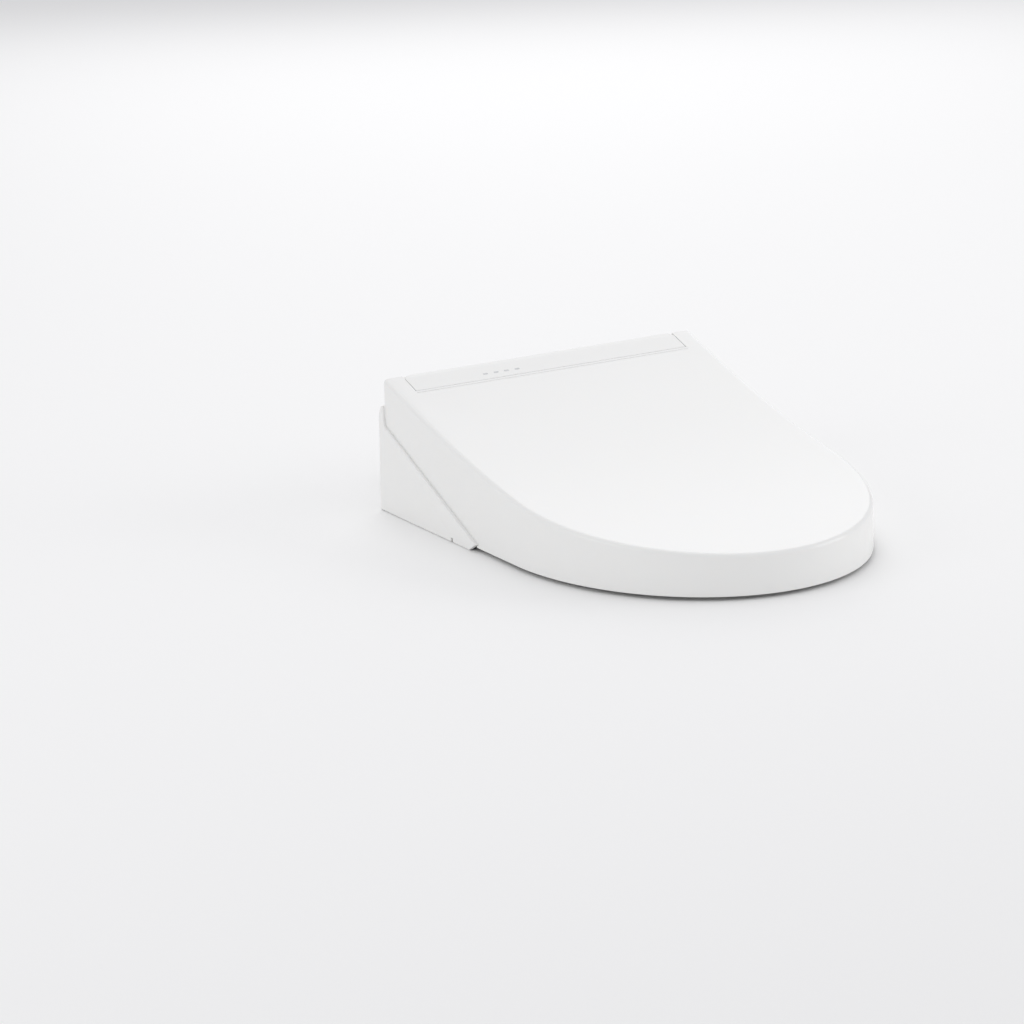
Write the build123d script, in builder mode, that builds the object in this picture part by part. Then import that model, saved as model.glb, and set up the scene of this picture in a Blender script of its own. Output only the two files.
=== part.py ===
"""Electric bidet seat with a fixed instrument panel, a soft-close lid and a heated ring seat.

Frame: the origin is midway between the two bowl bolts, on the plane of the bowl's rim. +Z is up, the
nose points to -Y and the bowl bolts lie along X. Millimetres throughout.
"""

import os
from math import asin, cos, degrees, pi, radians, sin, tan

from build123d import *

os.makedirs("parts", exist_ok=True)

# Driving dimensions: the lid ---------------------------------------------------------------------------
half_width = 191.0  # lid, centre to its straight side
straight_length = 278.0  # lid, rear edge to where the nose begins to round
nose_length = 238.0  # lid, from there to the tip
rear_height = 145.8  # lid surface at its rear edge
nose_height = 46.7  # lid surface at its tip
rear_slope = 0.335  # fall of the surface at the rear edge
nose_slope = 0.083  # fall of the surface at the tip
lid_wall = 3.0
lid_bottom = 4.5  # skirt edge above the rim
crease_radius = 4.0
seam_drop = 0.436  # fall of the diagonal seam towards the nose
seam_corner = (13.3, 88.0)  # distance from the rear edge and height where the diagonal starts
seam_rear_height = 97.5  # height where the seam turns up the rear edge
skirt_start = 197.0  # distance from the rear edge where the skirt meets the seam

# Driving dimensions: the housing -----------------------------------------------------------------------
lid_rear_y = 68.0  # lid's rear edge behind the bowl bolts
housing_rear_y = 78.0
housing_front_y = -78.0
housing_inset = 4.0  # housing's sides inside the lid's outer sides
housing_wall = 2.5
case_bottom = 2.0
split_height = 30.0  # joint between the base case and the top cover
ear_width = 23.0  # lid's ears, from the panel's ends to the lid's sides
panel_thickness = 2.5
panel_gap = 0.8
hinge_inset = 10.0  # hinge axis in front of the lid's rear edge
hinge_z = 127.0
notch_radius = 22.5  # lid's notch, about the hinge axis
pin_radius = 4.5
running_clearance = 0.05
cover_gap = 3.5  # top cover below the inside of the lid
shoulder_drop = 4.0  # top cover's shoulders below the seam

# Driving dimensions: the seat ring ---------------------------------------------------------------------
seat_rear_y = -82.0
seat_inset = 7.0  # ring's outer edge inside the lid's outer edge
seat_bottom = 10.0
seat_top_rear = 46.0
seat_top_front = 36.0
seat_shell = 3.0
opening_half_width = 106.0
opening_rear_y = -122.0
opening_front_y = -372.0
seat_edge_radius = 9.0
arm_inset = 16.0  # inner side of the seat's arms inside the lid's outer side
arm_thickness = 9.0

# Driving dimensions: the spray wand --------------------------------------------------------------------
wand_angle = 25.0
wand_front_z = 20.0
wand_radius = 7.0
wand_length = 150.0
gear_module = 1.0
pinion_teeth = 16
wand_travel_teeth = 32
pinion_back = 48.0  # pinion's axis behind the housing's front face, along the wand

# Driving dimensions: mounting, cord and hose -----------------------------------------------------------
bolt_spacing = 140.0
slot_radius = 4.5
slot_length = 24.0
plate_size = (190.0, 50.0, 3.0)
pad_thickness = 1.5
cord_diameter = 6.5
hose_diameter = 9.5

# Derived values ----------------------------------------------------------------------------------------
margin = 10.0
housing_half_width = half_width - housing_inset
panel_half_width = half_width - ear_width
arm_inner_x = half_width - arm_inset
hinge_y = lid_rear_y - hinge_inset
nose_start_y = lid_rear_y - straight_length
nose_y = nose_start_y - nose_length
panel_radius = notch_radius - panel_gap
ear_inner_x = panel_half_width + 1.6
shoulder_height = seam_corner[1] - shoulder_drop
case_height = split_height - case_bottom


def save(piece, name):
    """Labels a finished piece and writes it."""
    piece.part.label = name
    export_step(piece.part, f"parts/{name}.step")


def seam_z(y):
    """Height of the diagonal seam at y."""
    return seam_corner[1] - seam_drop * (lid_rear_y - seam_corner[0] - y)


def d_outline(inset, rear_y):
    """The D-shaped plan."""
    side = half_width - inset
    with BuildSketch() as plan:
        with BuildLine():
            nose = EllipticalCenterArc(
                (0, nose_start_y), side, nose_length - inset, start_angle=180, arc_size=180
            )
            Polyline(nose @ 1, (side, rear_y), (-side, rear_y), nose @ 0)
        make_face()
    return plan.sketch


def above_surface(drop):
    """All that is above the lid's surface lowered by drop, seen from the side."""
    rear = (lid_rear_y, rear_height - drop)
    tip = (nose_y, nose_height - drop)
    reach = 2 * margin
    with BuildSketch() as side_view:
        with BuildLine():
            crown = Bezier(
                rear,
                (rear[0] - 230, rear[1] - 230 * rear_slope),
                (tip[0] + 172, tip[1] + 172 * nose_slope),
                tip,
            )
            Polyline(
                crown @ 1,
                (tip[0] - reach, tip[1] - reach * nose_slope),
                (tip[0] - reach, rear[1] + 3 * reach),
                (rear[0] + reach, rear[1] + 3 * reach),
                (rear[0] + reach, rear[1] + reach * rear_slope),
                crown @ 0,
            )
        make_face()
    return side_view.sketch


def block_under_surface(inset, drop, bottom, rear_y):
    """The D-shaped block between bottom and the lid's surface lowered by drop."""
    with BuildPart() as block:
        with BuildSketch(Plane.XY.offset(bottom)):
            add(d_outline(inset, rear_y))
        extrude(amount=rear_height + margin)
        with BuildSketch(Plane.YZ.offset(-half_width - margin)):
            add(above_surface(drop))
        extrude(amount=2 * (half_width + margin), mode=Mode.SUBTRACT)
    return block.part


def mirrored(x):
    """Both sides, for a loop over left and right."""
    return (-x, x)


# The lid -----------------------------------------------------------------------------------------------
lid_core = block_under_surface(lid_wall, lid_wall, lid_bottom - margin, lid_rear_y - lid_wall)
ear_floor = seam_rear_height + 0.5
with BuildPart() as lid:
    add(block_under_surface(0, 0, lid_bottom, lid_rear_y))
    fillet(lid.faces().sort_by(Axis.Z)[-1].edges().filter_by(Axis.X, reverse=True), crease_radius)
    add(lid_core, mode=Mode.SUBTRACT)
    # ear walls beside the panel, which carry the hinge bores
    for x in (-ear_inner_x - 4, ear_inner_x):
        with BuildSketch(Plane.YZ.offset(x)):
            Polygon(
                (lid_rear_y - 0.5, ear_floor),
                (lid_rear_y - 0.5, rear_height - 2),
                (lid_rear_y - 40, rear_height - 2 - 40 * rear_slope),
                (lid_rear_y - 40, ear_floor),
                align=None,
            )
        extrude(amount=4)
    # behind the seat's arms the rear wall stops above the hinge, so that it swings clear of them
    for x in (lid_wall - half_width, ear_inner_x + 4):
        with BuildSketch(Plane.YZ.offset(x)):
            with Locations((lid_rear_y - lid_wall - 1, hinge_z + 7)):
                Rectangle(lid_wall + margin, hinge_z, align=(Align.MIN, Align.MAX))
        extrude(amount=half_width - lid_wall - ear_inner_x - 4, mode=Mode.SUBTRACT)
    # the sides end on the seam
    with BuildSketch(Plane.YZ.offset(-half_width - margin)):
        Polygon(
            (lid_rear_y + margin, seam_rear_height),
            (lid_rear_y, seam_rear_height),
            (lid_rear_y - 2.5, seam_rear_height - 4.9),
            (lid_rear_y - seam_corner[0], seam_corner[1]),
            (lid_rear_y - skirt_start, seam_z(lid_rear_y - skirt_start)),
            (lid_rear_y - skirt_start, -margin),
            (lid_rear_y + margin, -margin),
            align=None,
        )
    extrude(amount=2 * (half_width + margin), mode=Mode.SUBTRACT)
    # notch for the fixed panel
    with BuildSketch(Plane.YZ.offset(-panel_half_width - panel_gap)):
        with Locations((hinge_y, hinge_z)):
            Circle(notch_radius)
        with Locations((hinge_y, 0)):
            Rectangle(hinge_inset + margin, 2 * rear_height, align=(Align.MIN, Align.CENTER))
    extrude(amount=2 * (panel_half_width + panel_gap), mode=Mode.SUBTRACT)
    with BuildSketch(Plane.YZ.offset(-ear_inner_x - 5)):
        with Locations((hinge_y, hinge_z)):
            Circle(pin_radius + running_clearance)
    extrude(amount=2 * (ear_inner_x + 5), mode=Mode.SUBTRACT)
save(lid, "lid")

# Rubber stops under the lid, which rest on the seat ring.
bumper_places = [(x, y) for x in mirrored(146.0) for y in (-180.0, -300.0)]
seat_fall = (seat_top_rear - seat_top_front) / (seat_rear_y - nose_y)


def seat_top_z(y):
    """Height of the ring's flat top at y."""
    return seat_top_rear - seat_fall * (seat_rear_y - y)


with BuildPart() as lid_bumpers:
    for x, y in bumper_places:
        with BuildSketch(Plane.XY.offset(seat_top_z(y) + 1.0)):
            with Locations((x, y)):
                Circle(6.0)
        extrude(amount=rear_height)
    add(lid_core, mode=Mode.INTERSECT)
save(lid_bumpers, "lid_bumpers")

# The seat ring -----------------------------------------------------------------------------------------
opening_middle_y = (opening_rear_y + opening_front_y) / 2
opening_half_length = (opening_rear_y - opening_front_y) / 2


def ring_plan(shrink):
    """The ring's plan, its walls moved in by shrink on both edges."""
    with BuildSketch() as plan:
        add(d_outline(seat_inset + shrink, seat_rear_y - shrink))
        with Locations((0, opening_middle_y)):
            Ellipse(opening_half_width + shrink, opening_half_length + shrink, mode=Mode.SUBTRACT)
    return plan.sketch


def above_ring(drop):
    """All that is above the ring's tilted top lowered by drop, seen from the side."""
    rear_y, front_y = seat_rear_y + 60, nose_y - margin
    with BuildSketch() as side_view:
        Polygon(
            (rear_y, seat_top_z(rear_y) - drop),
            (front_y, seat_top_z(front_y) - drop),
            (front_y, 2 * rear_height),
            (rear_y, 2 * rear_height),
            align=None,
        )
    return side_view.sketch


underpass_half_width = 100.0  # raised underside at the rear, over the wand and the dryer outlet
underpass_height = 31.0


def ring_block(shrink, drop, bottom):
    """The ring between bottom and its top lowered by drop, its walls moved in by shrink."""
    with BuildPart() as block:
        with BuildSketch(Plane.XY.offset(bottom)):
            add(ring_plan(shrink))
        extrude(amount=rear_height)
        with BuildSketch(Plane.YZ.offset(-half_width)):
            add(above_ring(drop))
        extrude(amount=2 * half_width, mode=Mode.SUBTRACT)
    return block.part


with BuildPart() as underpass:
    with BuildSketch(Plane.XY.offset(-margin)):
        with Locations((0, seat_rear_y + margin)):
            Rectangle(2 * underpass_half_width, 60 + margin, align=(Align.CENTER, Align.MAX))
    extrude(amount=underpass_height + margin)

seat_cavity = ring_block(seat_shell, seat_shell, seat_bottom - margin)
with BuildPart() as ring_body:
    add(ring_block(0, 0, seat_bottom))
    fillet(ring_body.faces().sort_by(Axis.Z)[-1].edges().filter_by(Axis.X, reverse=True), seat_edge_radius)

with BuildPart() as seat_top:
    add(ring_body.part)
    add(seat_cavity, mode=Mode.SUBTRACT)
    add(underpass.part, mode=Mode.SUBTRACT)
save(seat_top, "seat_top")

# Hinge arms from the ring's rear corners back to the hinge axis.
with BuildPart() as seat_arms:
    for x in (-arm_inner_x - arm_thickness, arm_inner_x):
        with BuildSketch(Plane.YZ.offset(x)):
            Polygon(
                (seat_rear_y - 40, seat_bottom + 12),
                (seat_rear_y + 6, seam_z(seat_rear_y + 6) + 3),
                (hinge_y - 12, seam_z(hinge_y - 12) + 9),
                (hinge_y - 2, hinge_z - 8),
                (hinge_y - 8.4, hinge_z + 1),
                (hinge_y - 22, seam_z(hinge_y - 22) + 28),
                (seat_rear_y + 6, seam_z(seat_rear_y + 6) + 20),
                (seat_rear_y - 40, seat_top_z(seat_rear_y - 40) - 4),
                align=None,
            )
            with Locations((hinge_y, hinge_z)):
                Circle(pin_radius + 4)
        extrude(amount=arm_thickness)
    add(ring_body.part, mode=Mode.SUBTRACT)
    with BuildSketch(Plane.YZ.offset(-half_width)):
        with Locations((hinge_y, hinge_z)):
            Circle(pin_radius + running_clearance)
    extrude(amount=2 * half_width, mode=Mode.SUBTRACT)
save(seat_arms, "seat_arms")

with BuildPart() as seat_base:
    with BuildSketch(Plane.XY.offset(seat_bottom)):
        add(ring_plan(seat_shell))
    extrude(amount=seat_shell)
    # closes the raised part of the underside
    with BuildSketch(Plane.XY.offset(seat_bottom)):
        add(ring_plan(seat_shell))
        with Locations((0, seat_rear_y + margin)):
            Rectangle(
                2 * (underpass_half_width + seat_shell), 60 + margin + seat_shell,
                align=(Align.CENTER, Align.MAX), mode=Mode.INTERSECT,
            )
    extrude(amount=underpass_height - seat_bottom + seat_shell)
    add(underpass.part, mode=Mode.SUBTRACT)
save(seat_base, "seat_base")

heater_inset = 14.0
heater_thickness = 0.8
heater_floor = ring_block(heater_inset - 1, seat_shell + heater_thickness, seat_bottom - margin)
with BuildPart() as seat_heater:
    add(ring_block(heater_inset, seat_shell, seat_bottom))
    add(heater_floor, mode=Mode.SUBTRACT)
save(seat_heater, "seat_heater")

# Rubber feet under the ring.
seat_foot_places = [(x, y) for x, y in ((-120.0, -330.0), (120.0, -330.0), (-146.0, -170.0), (146.0, -170.0))]
with BuildPart() as seat_feet:
    with BuildSketch(Plane.XY.offset(0.3)):
        with Locations(*seat_foot_places):
            SlotOverall(26.0, 12.0, rotation=90)
    extrude(amount=seat_bottom - 0.3)
    fillet(seat_feet.edges().group_by(Axis.Z)[0], 2.0)
save(seat_feet, "seat_feet")

# The housing -------------------------------------------------------------------------------------------
pocket_size = (plate_size[0] + 8, plate_size[1] + 8)
pocket_height = 12.0
wand_sin, wand_cos = sin(radians(wand_angle)), cos(radians(wand_angle))
# along this plane's normal lies the way back up the wand, its local y points down
wand_plane = Plane(
    origin=(0, housing_front_y, wand_front_z), x_dir=(1, 0, 0), z_dir=(0, wand_cos, wand_sin)
)
pitch_radius = gear_module * pinion_teeth / 2
tooth_pitch = pi * gear_module
rack_pitch_x = wand_radius + 2.5
rack_half_thickness = 3.0
pinion_x = rack_pitch_x + pitch_radius
wand_tip_length = 20.0
wand_clearance = 0.4
wand_port_radius = wand_radius + 2.0
dryer_x = 78.0
dryer_duct_size = (34.0, 12.0)
dryer_duct_z = 22.0
inlet_x, inlet_z, inlet_radius = -112.0, 20.0, 8.0
drain_x, drain_radius = -78.0, 8.5
gland_x, gland_z, gland_radius = -148.0, 14.0, 6.5
housing_depth = housing_rear_y - housing_front_y
housing_middle_y = (housing_rear_y + housing_front_y) / 2


def wand_port():
    """The wand's way through the front wall, with a slot for its rack."""
    with BuildSketch() as port:
        Circle(wand_port_radius)
        Rectangle(rack_pitch_x + 3, 2 * rack_half_thickness + 2, align=(Align.MIN, Align.CENTER))
    return port.sketch


with BuildPart() as base_case:
    with BuildSketch(Plane.XY.offset(case_bottom)):
        with Locations((0, housing_middle_y)):
            RectangleRounded(2 * housing_half_width, housing_depth, 6.0)
    extrude(amount=case_height)
    with BuildSketch(Plane.XY.offset(case_bottom + housing_wall)):
        with Locations((0, housing_middle_y)):
            RectangleRounded(2 * (housing_half_width - housing_wall), housing_depth - 2 * housing_wall, 4.0)
    extrude(amount=case_height, mode=Mode.SUBTRACT)
    # raised pocket over the mounting plate
    with BuildSketch(Plane.XY.offset(case_bottom)):
        Rectangle(pocket_size[0] + 2 * housing_wall, pocket_size[1] + 2 * housing_wall)
    extrude(amount=pocket_height - case_bottom + housing_wall)
    with BuildSketch(Plane.XY.offset(-margin)):
        Rectangle(*pocket_size)
    extrude(amount=pocket_height + margin, mode=Mode.SUBTRACT)
    # ports: wand and dryer outlet in the front wall, water inlet, drain cap and cord in the rear wall
    with BuildSketch(wand_plane.offset(-margin)):
        add(wand_port())
    extrude(amount=3 * margin, mode=Mode.SUBTRACT)
    with BuildSketch(Plane.XZ.offset(-housing_front_y + margin)):
        with Locations((dryer_x, dryer_duct_z)):
            Rectangle(*dryer_duct_size)
    extrude(amount=-2 * margin, mode=Mode.SUBTRACT)
    with BuildSketch(Plane.XZ.offset(-housing_rear_y - margin)):
        with Locations((inlet_x, inlet_z)):
            Circle(inlet_radius)
        with Locations((drain_x, inlet_z)):
            Circle(drain_radius)
        with Locations((gland_x, gland_z)):
            Circle(gland_radius)
    extrude(amount=2 * margin, mode=Mode.SUBTRACT)
save(base_case, "base_case")

front_step_y = housing_front_y + 8


def hump_profile():
    """The top cover between the lid's ears, seen from the side."""
    with BuildSketch() as side_view:
        Polygon(
            (housing_rear_y, split_height - 5),
            (housing_rear_y, rear_height - 28),
            (lid_rear_y + 1, rear_height + 2),
            (hinge_y, rear_height + margin),
            (lid_rear_y - 60, rear_height + margin),
            (lid_rear_y - 100, rear_height - 30),
            (lid_rear_y - 112, 92.0),
            (front_step_y, 62.0),
            (housing_front_y, 42.0),
            (housing_front_y, split_height - 5),
            align=None,
        )
    return side_view.sketch


def shoulder_profile():
    """The top cover's lower sides under the seat arms, seen from the side."""
    bend_y = lid_rear_y - seam_corner[0]
    with BuildSketch() as side_view:
        Polygon(
            (housing_rear_y, split_height - 5),
            (housing_rear_y, shoulder_height),
            (bend_y, shoulder_height),
            (housing_front_y, max(seam_z(housing_front_y) - shoulder_drop, split_height + housing_wall)),
            (housing_front_y, split_height - 5),
            align=None,
        )
    return side_view.sketch


def cover_solid(thickness):
    """The top cover's outer form, moved in by thickness."""
    drop = lid_wall + cover_gap + thickness
    with BuildPart() as hump:
        with BuildSketch(Plane.YZ.offset(-panel_half_width + thickness)):
            add(hump_profile())
            offset(amount=-thickness, kind=Kind.INTERSECTION)
        extrude(amount=2 * (panel_half_width - thickness))
        with BuildSketch(Plane.YZ.offset(-half_width)):
            add(above_surface(drop))
            with Locations((hinge_y, hinge_z)):
                Circle(panel_radius + 0.4 - thickness, mode=Mode.SUBTRACT)
            with Locations((hinge_y, 0)):
                Rectangle(3 * margin, 4 * rear_height, align=(Align.MIN, Align.CENTER), mode=Mode.SUBTRACT)
        extrude(amount=2 * half_width, mode=Mode.SUBTRACT)
        with BuildSketch(Plane.YZ.offset(-half_width)):
            add(above_surface(panel_thickness + thickness))
        extrude(amount=2 * half_width, mode=Mode.SUBTRACT)
    with BuildPart() as body:
        add(hump.part)
        with BuildSketch(Plane.YZ.offset(-housing_half_width + thickness)):
            add(shoulder_profile())
            offset(amount=-thickness, kind=Kind.INTERSECTION)
        extrude(amount=2 * (housing_half_width - thickness))
        split(bisect_by=Plane.XY.offset(split_height), keep=Keep.TOP)
    return body.part


with BuildPart() as top_cover:
    add(cover_solid(0))
    add(cover_solid(housing_wall), mode=Mode.SUBTRACT)
    with BuildSketch(Plane.XY.offset(split_height - margin)):
        with Locations((0, housing_middle_y)):
            Rectangle(2 * (housing_half_width - housing_wall), housing_depth - 2 * housing_wall)
    extrude(amount=margin + housing_wall, mode=Mode.SUBTRACT)
    # hinge pins come out through the hump's sides
    with BuildSketch(Plane.YZ.offset(-half_width)):
        with Locations((hinge_y, hinge_z)):
            Circle(pin_radius + 0.3)
    extrude(amount=2 * half_width, mode=Mode.SUBTRACT)
    # the wand leaves through the front wall
    with BuildSketch(wand_plane.offset(-margin)):
        add(wand_port())
    extrude(amount=3 * margin, mode=Mode.SUBTRACT)
save(top_cover, "top_cover")

# Fixed panel between the lid's ears, flush with the lid, and its four indicator windows.
panel_corner = 10.0
with BuildPart() as panel_outline:
    with BuildSketch(Plane.YZ.offset(-panel_half_width)):
        with Locations((hinge_y, hinge_z)):
            Circle(panel_radius)
        with Locations((hinge_y, hinge_z - panel_radius)):
            Rectangle(hinge_inset - 1, 3 * panel_radius, align=(Align.MIN, Align.MIN))
    extrude(amount=2 * panel_half_width)
    with BuildSketch(Plane.XY):
        with Locations((0, hinge_y + hinge_inset - 1)):
            Rectangle(2 * panel_half_width, 6 * margin, align=(Align.CENTER, Align.MAX))
        fillet(vertices().group_by(Axis.Y)[-1], panel_corner)
    extrude(amount=2 * rear_height, mode=Mode.INTERSECT)

lens_places = [(-78.0 + 13.0 * n, lid_rear_y - 20.0) for n in range(4)]
with BuildPart() as lens_pockets:
    with BuildSketch(Plane.XY.offset(rear_height - 3 * margin)):
        with Locations(*lens_places):
            SlotOverall(7.0, 3.4)
    extrude(amount=6 * margin)

with BuildPart() as top_panel:
    add(panel_outline.part)
    add(block_under_surface(0, 0, split_height, lid_rear_y), mode=Mode.INTERSECT)
    add(block_under_surface(-margin, panel_thickness, 0, lid_rear_y + margin), mode=Mode.SUBTRACT)
    add(lens_pockets.part, mode=Mode.SUBTRACT)
save(top_panel, "top_panel")

with BuildPart() as indicator_lenses:
    add(lens_pockets.part)
    add(block_under_surface(0, 0.2, split_height, lid_rear_y), mode=Mode.INTERSECT)
    add(block_under_surface(-margin, panel_thickness, 0, lid_rear_y + margin), mode=Mode.SUBTRACT)
save(indicator_lenses, "indicator_lenses")

# Side covers: proud of the lid's skirt, ending on the seam; the right one holds the release button.
cover_inner_x = half_width + 0.8
cover_bottom_x = half_width + 4.5
cover_top_x = half_width + 2.0
cover_seam_gap = 1.0
release_y, release_z = -20.0, 11.0
release_size = (26.0, 12.0)
finger_notch_y = -81.0


def side_profile():
    """A side cover's outline, seen from the side."""
    tip_y = lid_rear_y - skirt_start + 0.5
    with BuildSketch() as side_view:
        Polygon(
            (housing_rear_y, 0.5),
            (housing_rear_y, rear_height - 22),
            (lid_rear_y + 3, rear_height - 20),
            (lid_rear_y + 2.2, seam_rear_height),
            (lid_rear_y - 2.5, seam_rear_height - 5.9),
            (lid_rear_y - seam_corner[0], seam_corner[1] - cover_seam_gap),
            (tip_y, seam_z(tip_y) - cover_seam_gap),
            (tip_y + 13, 0.5),
            align=None,
        )
    return side_view.sketch


def side_cover(side):
    """A side cover, with side -1 for the left one and 1 for the right one."""
    lean = degrees(asin((cover_bottom_x - cover_top_x) / rear_height))
    outer_face = Plane(origin=(side * cover_bottom_x, 0, 0), z_dir=(side, 0, tan(radians(lean))))
    with BuildPart() as cover:
        with BuildSketch(Plane.YZ.offset(side * cover_inner_x)):
            add(side_profile())
        extrude(amount=side * 6)
        split(bisect_by=outer_face, keep=Keep.BOTTOM)
        # standoff that seats the cover on the housing
        with BuildSketch(Plane.YZ.offset(side * (housing_half_width + 0.2))):
            add(shoulder_profile())
            offset(amount=-6.0, kind=Kind.INTERSECTION)
            offset(amount=-3.0, kind=Kind.INTERSECTION, mode=Mode.SUBTRACT)
        extrude(amount=side * (cover_inner_x - housing_half_width - 0.2))
    return cover.part


with BuildPart() as left_side_cover:
    add(side_cover(-1))
    with BuildSketch(Plane.YZ.offset(-cover_bottom_x)):
        with Locations((finger_notch_y, 2.0)):
            Rectangle(2.0, 6.0)
    extrude(amount=cover_bottom_x - cover_inner_x, mode=Mode.SUBTRACT)
save(left_side_cover, "left_side_cover")

with BuildPart() as right_side_cover:
    add(side_cover(1))
    with BuildSketch(Plane.YZ.offset(cover_inner_x - margin)):
        with Locations((release_y, release_z)):
            Rectangle(*release_size)
    extrude(amount=2 * margin, mode=Mode.SUBTRACT)
save(right_side_cover, "right_side_cover")

release_travel = 3.0
with BuildPart() as release_button:
    with BuildSketch(Plane.YZ.offset(housing_half_width + release_travel + 0.5)):
        with Locations((release_y, release_z)):
            RectangleRounded(release_size[0] - 0.8, release_size[1] - 0.8, 2.0)
    extrude(amount=cover_bottom_x - housing_half_width - release_travel - 0.5)
    fillet(release_button.faces().sort_by(Axis.X)[-1].edges(), 0.8)
save(release_button, "release_button")

# Hinge: one fixed pin each side, held in the housing and carrying an ear of the lid and a seat arm.
damper_radius = 9.0
damper_length = 34.0
pin_outer_x = arm_inner_x + arm_thickness + 2
with BuildPart() as hinge_pins:
    for x in (-pin_outer_x, panel_half_width - housing_wall - 4):
        with BuildSketch(Plane.YZ.offset(x)):
            with Locations((hinge_y, hinge_z)):
                Circle(pin_radius)
        extrude(amount=pin_outer_x - (panel_half_width - housing_wall - 4))
save(hinge_pins, "hinge_pins")

damper_outer_x = panel_half_width - housing_wall - 0.5
for side, name in ((-1, "lid_damper"), (1, "seat_damper")):
    with BuildPart() as damper:
        with BuildSketch(Plane.YZ.offset(side * damper_outer_x)):
            with Locations((hinge_y, hinge_z)):
                Circle(damper_radius)
        extrude(amount=-side * damper_length)
        with BuildSketch(Plane.YZ.offset(side * damper_outer_x)):
            with Locations((hinge_y, hinge_z)):
                Circle(pin_radius)
        extrude(amount=-side * 3.5, mode=Mode.SUBTRACT)
        fillet(damper.faces().sort_by(Axis.X)[0 if side > 0 else -1].edges(), 1.5)
    save(damper, name)

# Mounting plate, its bushings and rubber pad: the bowl's bolts pass through all three --------------------
plate_width, plate_depth, plate_thickness = plate_size
bolt_places = [(-bolt_spacing / 2, 0), (bolt_spacing / 2, 0)]


def bolt_slots(piece_radius):
    """Two slots for the bowl's bolts."""
    with BuildSketch() as plan:
        with Locations(*bolt_places):
            SlotOverall(slot_length, 2 * piece_radius)
    return plan.sketch


with BuildPart() as mounting_pad:
    with BuildSketch():
        RectangleRounded(plate_width, plate_depth, 6.0)
        add(bolt_slots(slot_radius + 1), mode=Mode.SUBTRACT)
    extrude(amount=pad_thickness)
save(mounting_pad, "mounting_pad")

with BuildPart() as mounting_plate:
    with BuildSketch(Plane.XY.offset(pad_thickness)):
        RectangleRounded(plate_width, plate_depth, 6.0)
        add(bolt_slots(slot_radius), mode=Mode.SUBTRACT)
    extrude(amount=plate_thickness)
    # hooked rails that the housing's pocket slides onto
    with BuildSketch(Plane.XY.offset(pad_thickness + plate_thickness)):
        with Locations((-plate_width / 2 + 4, 0), (plate_width / 2 - 4, 0)):
            Rectangle(5.0, plate_depth - 14)
    extrude(amount=4.0)
save(mounting_plate, "mounting_plate")

with BuildPart() as plate_bushings:
    with BuildSketch(Plane.XY.offset(pad_thickness + plate_thickness)):
        with Locations(*bolt_places):
            SlotOverall(32.0, 20.0)
            SlotOverall(slot_length, 2 * slot_radius, mode=Mode.SUBTRACT)
    extrude(amount=2.5)
save(plate_bushings, "plate_bushings")

with BuildPart() as base_feet:
    with BuildSketch():
        with Locations(*((x, y) for x in mirrored(150.0) for y in (-55.0, 55.0))):
            SlotOverall(24.0, 12.0)
    extrude(amount=case_bottom)
save(base_feet, "base_feet")

# Spray wand --------------------------------------------------------------------------------------------
guide_half_width, guide_half_height = 9.6, 11.0
guide_length = 132.0
guide_start = 4.0


def along_wand(back):
    """The plane across the wand, that far back from the housing's front face."""
    return wand_plane.offset(back)


with BuildPart() as wand_guide:
    with BuildSketch(along_wand(guide_start)):
        Rectangle(2 * guide_half_width, 2 * guide_half_height)
        Circle(wand_radius + wand_clearance, mode=Mode.SUBTRACT)
        Rectangle(
            2 * guide_half_width, 2 * rack_half_thickness + 1.0,
            align=(Align.MIN, Align.CENTER), mode=Mode.SUBTRACT,
        )
    extrude(amount=guide_length)
    split(bisect_by=Plane.XZ.offset(-housing_front_y - housing_wall - 0.3), keep=Keep.BOTTOM)
save(wand_guide, "wand_guide")

with BuildPart() as wand_tip:
    with BuildSketch(along_wand(2.0)):
        Circle(wand_radius)
    extrude(amount=wand_tip_length)
    fillet(wand_tip.faces().sort_by(Axis.Y)[0].edges(), 3.0)
    # spray holes in the tip's upper side
    with BuildSketch(Plane(origin=along_wand(10.0).origin, x_dir=(1, 0, 0), z_dir=(0, -wand_sin, wand_cos))):
        with Locations((0, 0)):
            with PolarLocations(2.2, 5):
                Circle(0.5)
        with Locations((0, -6.0)):
            Circle(0.8)
    extrude(amount=2 * wand_radius, mode=Mode.SUBTRACT)
save(wand_tip, "wand_tip")

rack_start = pinion_back - 2 * tooth_pitch
rack_teeth = wand_travel_teeth + 4
with BuildPart() as wand_tube:
    with BuildSketch(along_wand(2.0 + wand_tip_length)):
        Circle(wand_radius)
        Circle(wand_radius - 1.4, mode=Mode.SUBTRACT)
    extrude(amount=wand_length - wand_tip_length)
save(wand_tube, "wand_tube")

rack_root_x = rack_pitch_x - 1.2 * gear_module
rack_back = Plane(origin=along_wand(0).origin, x_dir=(1, 0, 0), z_dir=(0, -wand_sin, wand_cos))
with BuildPart() as wand_rack:
    with BuildSketch(rack_back.offset(-rack_half_thickness)):
        with Locations((wand_radius - 0.6, rack_start)):
            Rectangle(
                rack_root_x - wand_radius + 0.6, rack_teeth * tooth_pitch, align=(Align.MIN, Align.MIN)
            )
        for n in range(rack_teeth):
            middle = rack_start + (n + 0.5) * tooth_pitch
            Polygon(
                (rack_root_x, middle - 1.15),
                (rack_pitch_x + 0.8 * gear_module, middle - 0.35),
                (rack_pitch_x + 0.8 * gear_module, middle + 0.35),
                (rack_root_x, middle + 1.15),
                align=None,
            )
    extrude(amount=2 * rack_half_thickness)
    with BuildSketch(along_wand(0)):
        Circle(wand_radius)
    extrude(amount=2 * wand_length, mode=Mode.SUBTRACT)
save(wand_rack, "wand_rack")

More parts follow.
